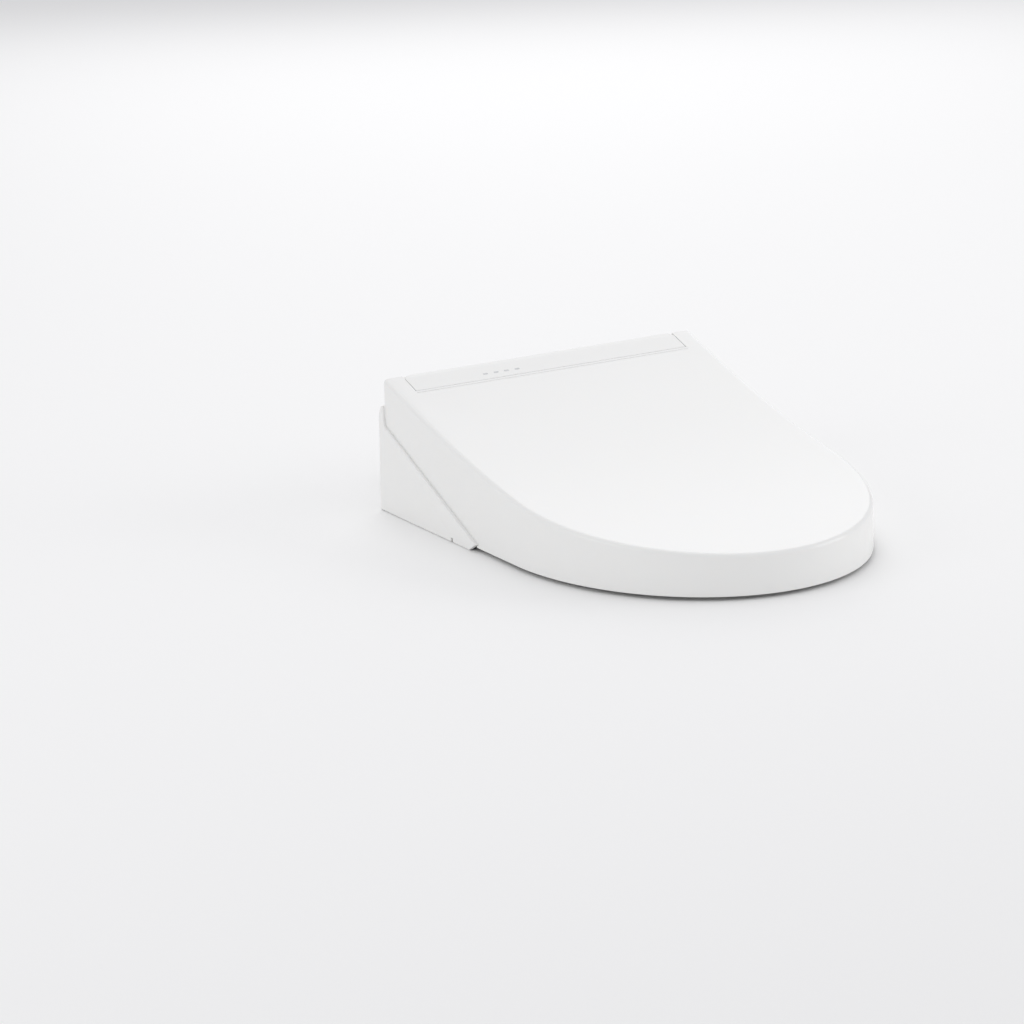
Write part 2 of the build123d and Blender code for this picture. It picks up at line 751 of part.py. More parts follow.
motor_gap = 12.0
motor_thickness = 10.0
pinion_plane = rack_back.offset(-rack_half_thickness)
with BuildPart() as drive_pinion:
    with BuildSketch(pinion_plane):
        with Locations((pinion_x, pinion_back)):
            Circle(pitch_radius - 1.2 * gear_module)
            for n in range(pinion_teeth):
                with Locations(Location((0, 0), 180 + 360 * n / pinion_teeth)):
                    Polygon(
                        (pitch_radius - 1.5 * gear_module, -1.1),
                        (pitch_radius + 0.8 * gear_module, -0.35),
                        (pitch_radius + 0.8 * gear_module, 0.35),
                        (pitch_radius - 1.5 * gear_module, 1.1),
                        align=None,
                    )
    extrude(amount=2 * rack_half_thickness)
    with BuildSketch(pinion_plane):
        with Locations((pinion_x, pinion_back)):
            Circle(2.0)
    extrude(amount=-(motor_gap - rack_half_thickness + 3.0))
save(drive_pinion, "drive_pinion")

with BuildPart() as wand_motor:
    with BuildSketch(rack_back.offset(-motor_gap)):
        with Locations((pinion_x, pinion_back)):
            Circle(10.0)
    extrude(amount=-motor_thickness)
    with BuildSketch(rack_back.offset(-motor_gap)):
        with Locations((pinion_x, pinion_back)):
            Circle(2.0 + running_clearance)
    extrude(amount=-4.0, mode=Mode.SUBTRACT)
save(wand_motor, "wand_motor")

# Water: inlet with strainer, solenoid valve, heating tank, pump and diverter -----------------------------
inner_rear_y = housing_rear_y - housing_wall
piece_gap = 0.5
union_front_y = inner_rear_y - 14
union_rear_y = housing_rear_y + 22
hose_exit_x, hose_exit_y = inlet_x + 20.0, housing_rear_y + 14
with BuildPart() as inlet_union:
    with BuildSketch(Plane.XZ.offset(-union_front_y)):
        with Locations((inlet_x, inlet_z)):
            Circle(inlet_radius + 3)
    extrude(amount=-(inner_rear_y - piece_gap - union_front_y))
    with BuildSketch(Plane.XZ.offset(-union_front_y)):
        with Locations((inlet_x, inlet_z)):
            Circle(inlet_radius - 0.1)
    extrude(amount=union_front_y - union_rear_y)
    fillet(inlet_union.faces().sort_by(Axis.Y)[-1].edges(), 2.0)
    # elbow's outlet, turned along the rear wall
    with BuildSketch(Plane.YZ.offset(inlet_x)):
        with Locations((hose_exit_y, inlet_z)):
            Circle(hose_diameter / 2 + 1.4)
    extrude(amount=hose_exit_x - inlet_x)
save(inlet_union, "inlet_union")

# the valve fills the room between the union and the pocket's rear wall
valve_depth = union_front_y - pocket_size[1] / 2 - housing_wall - piece_gap
valve_size = (26.0, valve_depth, 26.0)
with BuildPart() as inlet_valve:
    with BuildSketch(Plane.XY.offset(inlet_z - valve_size[2] / 2)):
        with Locations((inlet_x, union_front_y)):
            Rectangle(valve_size[0], valve_size[1], align=(Align.CENTER, Align.MAX))
    extrude(amount=valve_size[2])
    fillet(inlet_valve.edges().filter_by(Axis.Z), 3.0)
    # solenoid coil on top
    with BuildSketch(Plane.XY.offset(inlet_z + valve_size[2] / 2)):
        with Locations((inlet_x, union_front_y - valve_size[1] / 2)):
            Circle(10.0)
    extrude(amount=22.0)
save(inlet_valve, "inlet_valve")

with BuildPart() as drain_cap:
    with BuildSketch(Plane.XZ.offset(-inner_rear_y + 8)):
        with Locations((drain_x, inlet_z)):
            Circle(drain_radius - 0.4)
    extrude(amount=-(8 + housing_wall))
    with BuildSketch(Plane.XZ.offset(-housing_rear_y)):
        with Locations((drain_x, inlet_z)):
            Rectangle(14.0, 3.0)
    extrude(amount=-4.0)
    fillet(drain_cap.faces().sort_by(Axis.Y)[-1].edges(), 1.0)
save(drain_cap, "drain_cap")

tank_x, tank_y, tank_floor = -76.0, -10.0, 18.0
tank_size = (64.0, 80.0, 52.0)
tank_wall = 2.5
with BuildPart() as water_tank:
    with BuildSketch(Plane.XY.offset(tank_floor)):
        with Locations((tank_x, tank_y)):
            RectangleRounded(tank_size[0], tank_size[1], 10.0)
    extrude(amount=tank_size[2])
    with BuildSketch(Plane.XY.offset(tank_floor + tank_wall)):
        with Locations((tank_x, tank_y)):
            RectangleRounded(tank_size[0] - 2 * tank_wall, tank_size[1] - 2 * tank_wall, 8.0)
    extrude(amount=tank_size[2], mode=Mode.SUBTRACT)
save(water_tank, "water_tank")

with BuildPart() as tank_lid:
    with BuildSketch(Plane.XY.offset(tank_floor + tank_size[2])):
        with Locations((tank_x, tank_y)):
            RectangleRounded(tank_size[0] + 4, tank_size[1] + 4, 12.0)
    extrude(amount=3.0)
    with BuildSketch(Plane.XY.offset(tank_floor + tank_size[2] + 3.0)):
        with Locations((tank_x - 18, tank_y), (tank_x + 18, tank_y)):
            Circle(5.0)
    extrude(amount=4.0)
save(tank_lid, "tank_lid")

with BuildPart() as tank_heater:
    heater_x = (tank_x - 18, tank_x + 18)
    heater_top = tank_floor + tank_size[2]
    with BuildLine():
        FilletPolyline(
            (heater_x[0], tank_y, heater_top),
            (heater_x[0], tank_y, tank_floor + 12),
            (heater_x[1], tank_y, tank_floor + 12),
            (heater_x[1], tank_y, heater_top),
            radius=10.0,
        )
    with BuildSketch(Plane.XY.offset(heater_top)):
        with Locations((heater_x[0], tank_y)):
            Circle(4.0)
    sweep()
save(tank_heater, "tank_heater")

pump_x, pump_z = -150.0, 26.0
pump_front_y, pump_head_y, pump_rear_y = -24.0, 20.0, 36.0
with BuildPart() as water_pump:
    with BuildSketch(Plane.XZ.offset(-pump_front_y)):
        with Locations((pump_x, pump_z)):
            Circle(15.0)
    extrude(amount=pump_front_y - pump_head_y)
    with BuildSketch(Plane.XZ.offset(-pump_head_y)):
        with Locations((pump_x, pump_z)):
            RectangleRounded(34.0, 34.0, 4.0)
    extrude(amount=pump_head_y - pump_rear_y)
save(water_pump, "water_pump")

diverter_x, diverter_z = -30.0, 50.0
diverter_radius = 12.0
rotor_radius = 8.0
with BuildPart() as diverter_valve:
    with BuildSketch(Plane.XZ.offset(-14)):
        with Locations((diverter_x, diverter_z)):
            Circle(diverter_radius)
            Circle(rotor_radius + running_clearance, mode=Mode.SUBTRACT)
    extrude(amount=-18)
save(diverter_valve, "diverter_valve")

with BuildPart() as diverter_rotor:
    with BuildSketch(Plane.XZ.offset(-16)):
        with Locations((diverter_x, diverter_z)):
            Circle(rotor_radius)
            with PolarLocations(4.8, 4):
                Circle(1.6, mode=Mode.SUBTRACT)
    extrude(amount=-14)
    with BuildSketch(Plane.XZ.offset(-30)):
        with Locations((diverter_x, diverter_z)):
            Circle(2.0)
    extrude(amount=-6)
save(diverter_rotor, "diverter_rotor")

with BuildPart() as diverter_motor:
    with BuildSketch(Plane.XZ.offset(-32.5)):
        with Locations((diverter_x, diverter_z)):
            Circle(diverter_radius)
    extrude(amount=-18)
    with BuildSketch(Plane.XZ.offset(-32.5)):
        with Locations((diverter_x, diverter_z)):
            Circle(2.0 + running_clearance)
    extrude(amount=-4.5, mode=Mode.SUBTRACT)
save(diverter_motor, "diverter_motor")

# internal hoses: valve to pump, pump to tank, tank to diverter
tank_left_x, tank_right_x = tank_x - tank_size[0] / 2, tank_x + tank_size[0] / 2
tube_routes = (
    [(inlet_x - valve_size[0] / 2, 52.0, inlet_z), (-138.0, 52.0, inlet_z),
     (pump_x, 48.0, pump_z), (pump_x, pump_rear_y, pump_z)],
    [(pump_x, pump_front_y, pump_z), (pump_x, -40.0, pump_z), (-128.0, -40.0, 40.0), (tank_left_x, -40.0, 40.0)],
    [(tank_right_x, 0.0, diverter_z), (diverter_x, 0.0, diverter_z), (diverter_x, 14.0, diverter_z)],
)
tube_radius = 3.0
with BuildPart() as water_tubes:
    for route in tube_routes:
        with BuildLine() as path:
            FilletPolyline(*route, radius=3.4)
        with BuildSketch(Plane(origin=path.line @ 0, z_dir=path.line % 0)):
            Circle(tube_radius)
        sweep(path=path.line)
save(water_tubes, "water_tubes")

# Warm-air dryer ----------------------------------------------------------------------------------------
fan_x, fan_y, fan_z = dryer_x, 22.0, 48.0
fan_radius = 27.0
fan_width = dryer_duct_size[0]
fan_wall = 2.0
duct_rear_y = -6.0
with BuildPart() as dryer_housing:
    with BuildSketch(Plane.YZ.offset(fan_x - fan_width / 2)):
        with Locations((fan_y, fan_z)):
            Circle(fan_radius + fan_wall + 4)
        with Locations((duct_rear_y, dryer_duct_z - dryer_duct_size[1] / 2)):
            Rectangle(fan_y - duct_rear_y, dryer_duct_size[1], align=(Align.MIN, Align.MIN))
    extrude(amount=fan_width)
    with BuildSketch(Plane.YZ.offset(fan_x - fan_width / 2 + fan_wall)):
        with Locations((fan_y, fan_z)):
            Circle(fan_radius + 4)
        with Locations((duct_rear_y - margin, dryer_duct_z - dryer_duct_size[1] / 2 + fan_wall)):
            Rectangle(
                fan_y - duct_rear_y + margin, dryer_duct_size[1] - 2 * fan_wall, align=(Align.MIN, Align.MIN)
            )
    extrude(amount=fan_width - 2 * fan_wall, mode=Mode.SUBTRACT)
    # air intake
    with BuildSketch(Plane.YZ.offset(fan_x)):
        with Locations((fan_y, fan_z)):
            Circle(14.0)
    extrude(amount=fan_width, mode=Mode.SUBTRACT)
save(dryer_housing, "dryer_housing")


def fan_rotor(x, y, z, radius, width, blades):
    """A drum of forward blades on a back disc, turning about X."""
    with BuildPart() as rotor:
        with BuildSketch(Plane.YZ.offset(x - width / 2)):
            with Locations((y, z)):
                Circle(radius)
        extrude(amount=1.5)
        with BuildSketch(Plane.YZ.offset(x - width / 2 + 1.5)):
            with Locations((y, z)):
                Circle(5.0)
                with PolarLocations(radius - 3.5, blades):
                    Rectangle(6.0, 1.2, rotation=35)
        extrude(amount=width - 1.5)
    return rotor.part


dryer_rotor_width = fan_width - 2 * fan_wall - 6
with BuildPart() as dryer_rotor:
    add(fan_rotor(fan_x - 1, fan_y, fan_z, fan_radius, dryer_rotor_width, 20))
save(dryer_rotor, "dryer_rotor")

duct_front_y = housing_front_y + 1.0
with BuildPart() as dryer_duct:
    with BuildSketch(Plane.XZ.offset(-duct_rear_y + piece_gap)):
        with Locations((dryer_x, dryer_duct_z)):
            Rectangle(dryer_duct_size[0] - 0.6, dryer_duct_size[1] - 0.6)
            Rectangle(
                dryer_duct_size[0] - 2 * fan_wall, dryer_duct_size[1] - 2 * fan_wall, mode=Mode.SUBTRACT
            )
    extrude(amount=duct_rear_y - piece_gap - duct_front_y)
save(dryer_duct, "dryer_duct")

with BuildPart() as dryer_heater:
    with BuildSketch(Plane.XZ.offset(28)):
        with Locations((dryer_x, dryer_duct_z)):
            Rectangle(dryer_duct_size[0] - 2 * fan_wall, 2.0)
            with GridLocations(7.0, 0, 4, 1):
                Rectangle(2.0, dryer_duct_size[1] - 2 * fan_wall)
    extrude(amount=14)
save(dryer_heater, "dryer_heater")

flap_size = (dryer_duct_size[0] + 4, dryer_duct_size[1] + 2.5, 1.6)
flap_hinge_z = dryer_duct_z + 6.6
flap_y = housing_front_y - 2.1
with BuildPart() as dryer_flap:
    with BuildSketch(Plane.XZ.offset(-flap_y)):
        with Locations((dryer_x, flap_hinge_z)):
            Rectangle(flap_size[0], flap_size[1], align=(Align.CENTER, Align.MAX))
    extrude(amount=flap_size[2])
    with BuildSketch(Plane.YZ.offset(dryer_x - flap_size[0] / 2)):
        with Locations((flap_y - flap_size[2] / 2, flap_hinge_z - 0.8)):
            Circle(1.6)
    extrude(amount=flap_size[0])
save(dryer_flap, "dryer_flap")

# Deodoriser: a small fan that draws air through a carbon cartridge --------------------------------------
deo_x, deo_y, deo_z = 146.0, 4.0, 26.0
deo_radius = 15.0
deo_width = 22.0
with BuildPart() as deodoriser_housing:
    with BuildSketch(Plane.YZ.offset(deo_x - deo_width / 2)):
        with Locations((deo_y, deo_z)):
            RectangleRounded(2 * deo_radius + 10, 2 * deo_radius + 10, 6.0)
    extrude(amount=deo_width)
    with BuildSketch(Plane.YZ.offset(deo_x - deo_width / 2 + fan_wall)):
        with Locations((deo_y, deo_z)):
            Circle(deo_radius + 2)
    extrude(amount=deo_width - 2 * fan_wall, mode=Mode.SUBTRACT)
    with BuildSketch(Plane.YZ.offset(deo_x)):
        with Locations((deo_y, deo_z)):
            Circle(9.0)
    extrude(amount=deo_width, mode=Mode.SUBTRACT)
save(deodoriser_housing, "deodoriser_housing")

with BuildPart() as deodoriser_rotor:
    add(fan_rotor(deo_x, deo_y, deo_z, deo_radius, deo_width - 2 * fan_wall - 5, 14))
save(deodoriser_rotor, "deodoriser_rotor")

with BuildPart() as carbon_filter:
    with BuildSketch(Plane.YZ.offset(deo_x + deo_width / 2 + 1)):
        with Locations((deo_y, deo_z)):
            RectangleRounded(34.0, 34.0, 2.0)
            with GridLocations(7.0, 7.0, 4, 4):
                Rectangle(5.0, 5.0, mode=Mode.SUBTRACT)
    extrude(amount=12.0)
save(carbon_filter, "carbon_filter")

# Electronics -------------------------------------------------------------------------------------------
board_thickness = 1.6


def circuit_board(middle, size, blocks):
    """A board with block components given as (x, y, width, depth, height) from its middle."""
    x, y, z = middle
    with BuildPart() as board:
        with BuildSketch(Plane.XY.offset(z)):
            with Locations((x, y)):
                RectangleRounded(*size, 2.0)
                with GridLocations(size[0] - 8, size[1] - 8, 2, 2):
                    Circle(1.6, mode=Mode.SUBTRACT)
        extrude(amount=board_thickness)
        for bx, by, width, depth, height in blocks:
            with BuildSketch(Plane.XY.offset(z + board_thickness)):
                with Locations((x + bx, y + by)):
                    Rectangle(width, depth)
            extrude(amount=height)
    return board.part


with BuildPart() as control_board:
    add(circuit_board(
        (-90.0, 8.0, 84.0), (100.0, 64.0),
        [(-32, 10, 14, 14, 3), (-8, 12, 10, 18, 5), (14, 12, 12, 12, 2), (34, -8, 8, 30, 9), (-20, -18, 30, 6, 8)],
    ))
save(control_board, "control_board")

with BuildPart() as power_board:
    add(circuit_board(
        (92.0, 8.0, 86.0), (100.0, 64.0),
        [(-30, 12, 22, 20, 16), (0, 14, 14, 14, 14), (26, 12, 12, 24, 12), (-10, -18, 40, 6, 8), (32, -14, 10, 10, 10)],
    ))
save(power_board, "power_board")

display_z = 116.0
with BuildPart() as display_board:
    add(circuit_board(
        (-58.0, 44.0, display_z), (70.0, 16.0), [(13.0 * n - 20.0, 2.0, 3, 3, 1.5) for n in range(4)],
    ))
save(display_board, "display_board")

screw_places = [(x, y) for x in mirrored(176.0) for y in (-66.0, 66.0)]
with BuildPart() as case_screws:
    with BuildSketch(Plane.XY.offset(case_bottom + housing_wall)):
        with Locations(*screw_places):
            Circle(2.0)
    extrude(amount=24.0)
    with BuildSketch(Plane.XY.offset(case_bottom + housing_wall)):
        with Locations(*screw_places):
            Circle(3.6)
    extrude(amount=2.5)
save(case_screws, "case_screws")

# Power cord and supply hose ----------------------------------------------------------------------------
gland_length = 28.0
with BuildPart() as cord_gland:
    with BuildSketch(Plane.XZ.offset(-inner_rear_y + 6)):
        with Locations((gland_x, gland_z)):
            Circle(gland_radius + 2)
    extrude(amount=-(6 - piece_gap))
    with BuildSketch(Plane.XZ.offset(-inner_rear_y + 6)):
        with Locations((gland_x, gland_z)):
            Circle(gland_radius - 0.2)
    extrude(amount=-(6 + housing_wall))
    with BuildSketch(Plane.XZ.offset(-housing_rear_y)):
        with Locations((gland_x, gland_z)):
            Circle(gland_radius - 0.4)
    extrude(amount=-gland_length, taper=degrees(asin(2.0 / gland_length)))
save(cord_gland, "cord_gland")


def round_path(points):
    """The route as runs joined by arcs as large as the runs allow, and the arcs' radii."""
    places = [Vector(*point) for point in points]
    radii = []
    for before, here, after in zip(places, places[1:], places[2:]):
        turn = radians((here - before).get_angle(after - here))
        shorter = min((here - before).length, (after - here).length)
        radii.append(0.45 * shorter / tan(turn / 2))
    with BuildLine() as path:
        FilletPolyline(*points, radius=radii)
    return path.wire(), radii


def free_tube(name, points, radius):
    """A free cord's tube, and a line that gives its length, its radii and its volume's error."""
    line, radii = round_path(points)
    with BuildPart() as tube:
        with BuildSketch(Plane(origin=line @ 0, z_dir=line % 0)):
            Circle(radius)
        sweep(path=line)
    error = tube.part.volume / (pi * radius**2 * line.length) - 1
    print(name, round(line.length, 1), "mm, radii", [round(r) for r in radii], "volume error", round(error, 4))
    save(tube, name)
    return line.length


def coil_ring(name, middle, mean_radius, width, height):
    """The closed outer shape of a coil that lies flat."""
    with BuildPart() as ring:
        with BuildSketch():
            with Locations(middle):
                Circle(mean_radius + width / 2)
                Circle(mean_radius - width / 2, mode=Mode.SUBTRACT)
        extrude(amount=height)
        fillet(ring.edges().filter_by(GeomType.CIRCLE), 2.5)
    save(ring, name)


cord_radius = cord_diameter / 2
cord_floor = cord_radius + 0.1
gland_end = (gland_x, housing_rear_y + gland_length, gland_z)
cord_coil_middle = (-98.0, 150.0)
cord_coil_radius = 38.0
cord_coil_turns = 4.25
cord_length = free_tube(
    "power_cord",
    [gland_end, (-147.6, 118.5, 12.0), (-145.0, 130.5, 6.8), (-139.6, 141.5, cord_floor), (-136.0, 153.0, cord_floor)],
    cord_radius,
)
coil_ring("cord_coil", cord_coil_middle, cord_coil_radius, 2 * cord_diameter, 2 * cord_diameter)
plug_entry = (-42.0, 196.0, 12.0)
tail_length = free_tube(
    "cord_tail",
    [(-98.0, 191.2, 9.8), (-84.0, 190.6, 9.6), (-70.0, 192.4, 10.8), (-56.0, 195.2, 11.8), plug_entry],
    cord_radius,
)
print("cord length", round(cord_length + tail_length + cord_coil_turns * 2 * pi * cord_coil_radius))

plug_relief = 22.0
plug_size = (52.0, 38.0, 27.0)
plug_start_x = plug_entry[0] + plug_relief
with BuildPart() as plug_body:
    with BuildSketch(Plane.YZ.offset(plug_entry[0])):
        with Locations((plug_entry[1], plug_entry[2])):
            Circle(4.0)
    with BuildSketch(Plane.YZ.offset(plug_start_x)):
        with Locations((plug_entry[1], plug_entry[2])):
            Circle(7.0)
    loft()
    with BuildSketch(Plane.XY):
        with Locations((plug_start_x, plug_entry[1])):
            RectangleRounded(plug_size[0], plug_size[1], 5.0, align=(Align.MIN, Align.CENTER))
    extrude(amount=plug_size[2])
    fillet(plug_body.faces().sort_by(Axis.Z)[-1].edges(), 2.5)
save(plug_body, "plug_body")

plug_end_x = plug_start_x + plug_size[0]
with BuildPart() as plug_pins:
    with BuildSketch(Plane.YZ.offset(plug_end_x)):
        with Locations((plug_entry[1] - 6.35, 15.0), (plug_entry[1] + 6.35, 15.0)):
            Rectangle(1.6, 6.4)
        with Locations((plug_entry[1], 6.0)):
            Circle(2.4)
    extrude(amount=17.0)
save(plug_pins, "plug_pins")

hose_radius = hose_diameter / 2
hose_floor = hose_radius + 0.1
hose_coil_middle = (104.0, 150.0)
hose_coil_radius = 52.0
hose_coil_turns = 2
hose_length = free_tube(
    "supply_hose",
    [
        (hose_exit_x, hose_exit_y, inlet_z), (-74.0, 92.0, 19.2), (-56.0, 92.8, 14.0), (-37.0, 94.6, 8.4),
        (-15.0, 95.6, 5.2), (10.0, 96.4, hose_floor), (36.0, 97.8, hose_floor), (63.0, 96.8, hose_floor),
        (88.0, 97.2, hose_floor), (104.0, 98.0, hose_floor),
    ],
    hose_radius,
)
coil_ring("hose_coil", hose_coil_middle, hose_coil_radius, hose_diameter, 2 * hose_diameter)
nut_radius = 12.0
nut_x = 154.0
hose_tail_length = free_tube(
    "hose_tail",
    [(104.0, 98.0, 14.2), (121.0, 98.6, 14.0), (138.0, 97.2, 13.0), (nut_x, 97.6, nut_radius + 0.2)],
    hose_radius,
)
print("hose length", round(hose_length + hose_tail_length + hose_coil_turns * 2 * pi * hose_coil_radius))

with BuildPart() as hose_nut:
    with BuildSketch(Plane.YZ.offset(nut_x)):
        with Locations((97.6, nut_radius + 0.2)):
            Circle(hose_radius + 1.6)
    extrude(amount=8.0)
    with BuildSketch(Plane.YZ.offset(nut_x + 8)):
        with Locations((97.6, nut_radius + 0.2)):
            RegularPolygon(nut_radius, 6)
    extrude(amount=16.0)
    with BuildSketch(Plane.YZ.offset(nut_x + 12)):
        with Locations((97.6, nut_radius + 0.2)):
            Circle(8.6)
    extrude(amount=margin + 2, mode=Mode.SUBTRACT)
save(hose_nut, "hose_nut")
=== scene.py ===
"""Looks of an electric bidet seat: a sloping lid with a fixed panel between its ears, side covers proud of
the skirt, a ring seat under the lid and a housing with its cord and hose behind.

The part's own frame holds: the origin is midway between the bowl bolts on the rim's plane, +Z is up and
the nose points to -Y. Sizes are written in millimetres and turned to metres by MM.
"""

import logging
import math
from collections.abc import Callable, Iterable
from dataclasses import dataclass, field
from enum import Enum

import bmesh
import bpy
from mathutils import Matrix, Vector

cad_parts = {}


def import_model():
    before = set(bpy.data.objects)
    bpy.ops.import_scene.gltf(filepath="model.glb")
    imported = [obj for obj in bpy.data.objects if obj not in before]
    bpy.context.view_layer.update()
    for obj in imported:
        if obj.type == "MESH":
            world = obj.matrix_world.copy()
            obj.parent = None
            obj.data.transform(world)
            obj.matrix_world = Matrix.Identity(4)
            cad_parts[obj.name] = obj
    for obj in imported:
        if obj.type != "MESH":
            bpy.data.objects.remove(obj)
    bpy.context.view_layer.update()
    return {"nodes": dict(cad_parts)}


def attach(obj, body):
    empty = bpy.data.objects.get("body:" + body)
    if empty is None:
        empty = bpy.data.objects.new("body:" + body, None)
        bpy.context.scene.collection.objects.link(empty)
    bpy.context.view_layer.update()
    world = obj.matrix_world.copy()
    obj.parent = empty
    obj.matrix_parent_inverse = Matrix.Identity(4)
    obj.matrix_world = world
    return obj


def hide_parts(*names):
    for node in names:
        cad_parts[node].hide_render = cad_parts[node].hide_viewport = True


MM = 0.001
LOG = logging.getLogger("bidet_seat")


# Colours and node helper -------------------------------------------------------------------------------
def linear(colour: str) -> tuple[float, float, float, float]:
    """Turns an sRGB hex colour to the linear values that shaders read.

    Args:
        colour: six hex digits, as in "e8e8e6".

    Returns:
        Linear red, green, blue and an alpha of 1.
    """
    parts = [int(colour[i : i + 2], 16) / 255 for i in (0, 2, 4)]
    curve = [c / 12.92 if c <= 0.04045 else ((c + 0.055) / 1.055) ** 2.4 for c in parts]
    return (*curve, 1.0)


def add_node(
    material: bpy.types.Material,
    kind: str,
    settings: dict[str, object],
    links: dict[str, bpy.types.NodeSocket],
) -> bpy.types.Node:
    """Adds one shader node.

    Args:
        material: the material that gets the node.
        kind: the node's type name.
        settings: values by the name of an input or a property.
        links: source sockets by the name of the input they feed.

    Returns:
        The new node.
    """
    node = material.node_tree.nodes.new(kind)
    for name, value in settings.items():
        if name in node.inputs:
            node.inputs[name].default_value = value
        else:
            setattr(node, name, value)
    for name, source in links.items():
        material.node_tree.links.new(source, node.inputs[name])
    return node


# Finishes ----------------------------------------------------------------------------------------------
@dataclass(frozen=True)
class Finish:
    """A plain surface of one colour, which the special finishes build on."""

    name: str
    colour: str
    roughness: float
    ior: float = 1.5
    metallic: float = 0.0
    grain_mm: float = 0.0
    grain_depth_mm: float = 0.0
    mottle: float = 0.0
    mottle_mm: float = 40.0
    coat: float = 0.0
    soft: float = 0.0

    def make(self) -> bpy.types.Material:
        """Builds the material.

        Returns:
            A material with one Principled shader and its grain.
        """
        material = bpy.data.materials.new(self.name)
        material.use_nodes = True
        material.node_tree.nodes.clear()
        surface = self.surface(material)
        output = add_node(material, "ShaderNodeOutputMaterial", {}, {})
        material.node_tree.links.new(surface.outputs["BSDF"], output.inputs["Surface"])
        material.diffuse_color = linear(self.colour)
        return material

    def surface(self, material: bpy.types.Material) -> bpy.types.Node:
        """Builds the shader with its mottled gloss and its grain.

        Args:
            material: the material that gets the nodes.

        Returns:
            The Principled shader.
        """
        place = add_node(material, "ShaderNodeTexCoord", {}, {})
        shader = add_node(
            material,
            "ShaderNodeBsdfPrincipled",
            {
                "Base Color": linear(self.colour),
                "Metallic": self.metallic,
                "Roughness": self.roughness,
                "IOR": self.ior,
                "Coat Weight": self.coat,
                "Coat Roughness": 0.06,
                "Subsurface Weight": self.soft,
                "Subsurface Radius": (1.0, 0.9, 0.8),
                "Subsurface Scale": 2.0 * MM,
            },
            {},
        )
        tree = material.node_tree
        if self.mottle:
            # wiped and handled areas shine a little less evenly than fresh ones
            smudge = add_node(
                material,
                "ShaderNodeTexNoise",
                {"Scale": 1 / (self.mottle_mm * MM), "Detail": 3.0, "Roughness": 0.55},
                {"Vector": place.outputs["Object"]},
            )
            spread = add_node(
                material,
                "ShaderNodeMapRange",
                {
                    "From Min": 0.3,
                    "From Max": 0.7,
                    "To Min": self.roughness - self.mottle,
                    "To Max": self.roughness + self.mottle,
                },
                {"Value": smudge.outputs["Fac"]},
            )
            tree.links.new(spread.outputs["Result"], shader.inputs["Roughness"])
        if self.grain_mm:
            grain = add_node(
                material,
                "ShaderNodeTexNoise",
                {"Scale": 1 / (self.grain_mm * MM), "Detail": 2.0},
                {"Vector": place.outputs["Object"]},
            )
            bump = add_node(
                material,
                "ShaderNodeBump",
                {"Strength": 1.0, "Distance": self.grain_depth_mm * MM},
                {"Height": grain.outputs["Fac"]},
            )
            tree.links.new(bump.outputs["Normal"], shader.inputs["Normal"])
        return shader


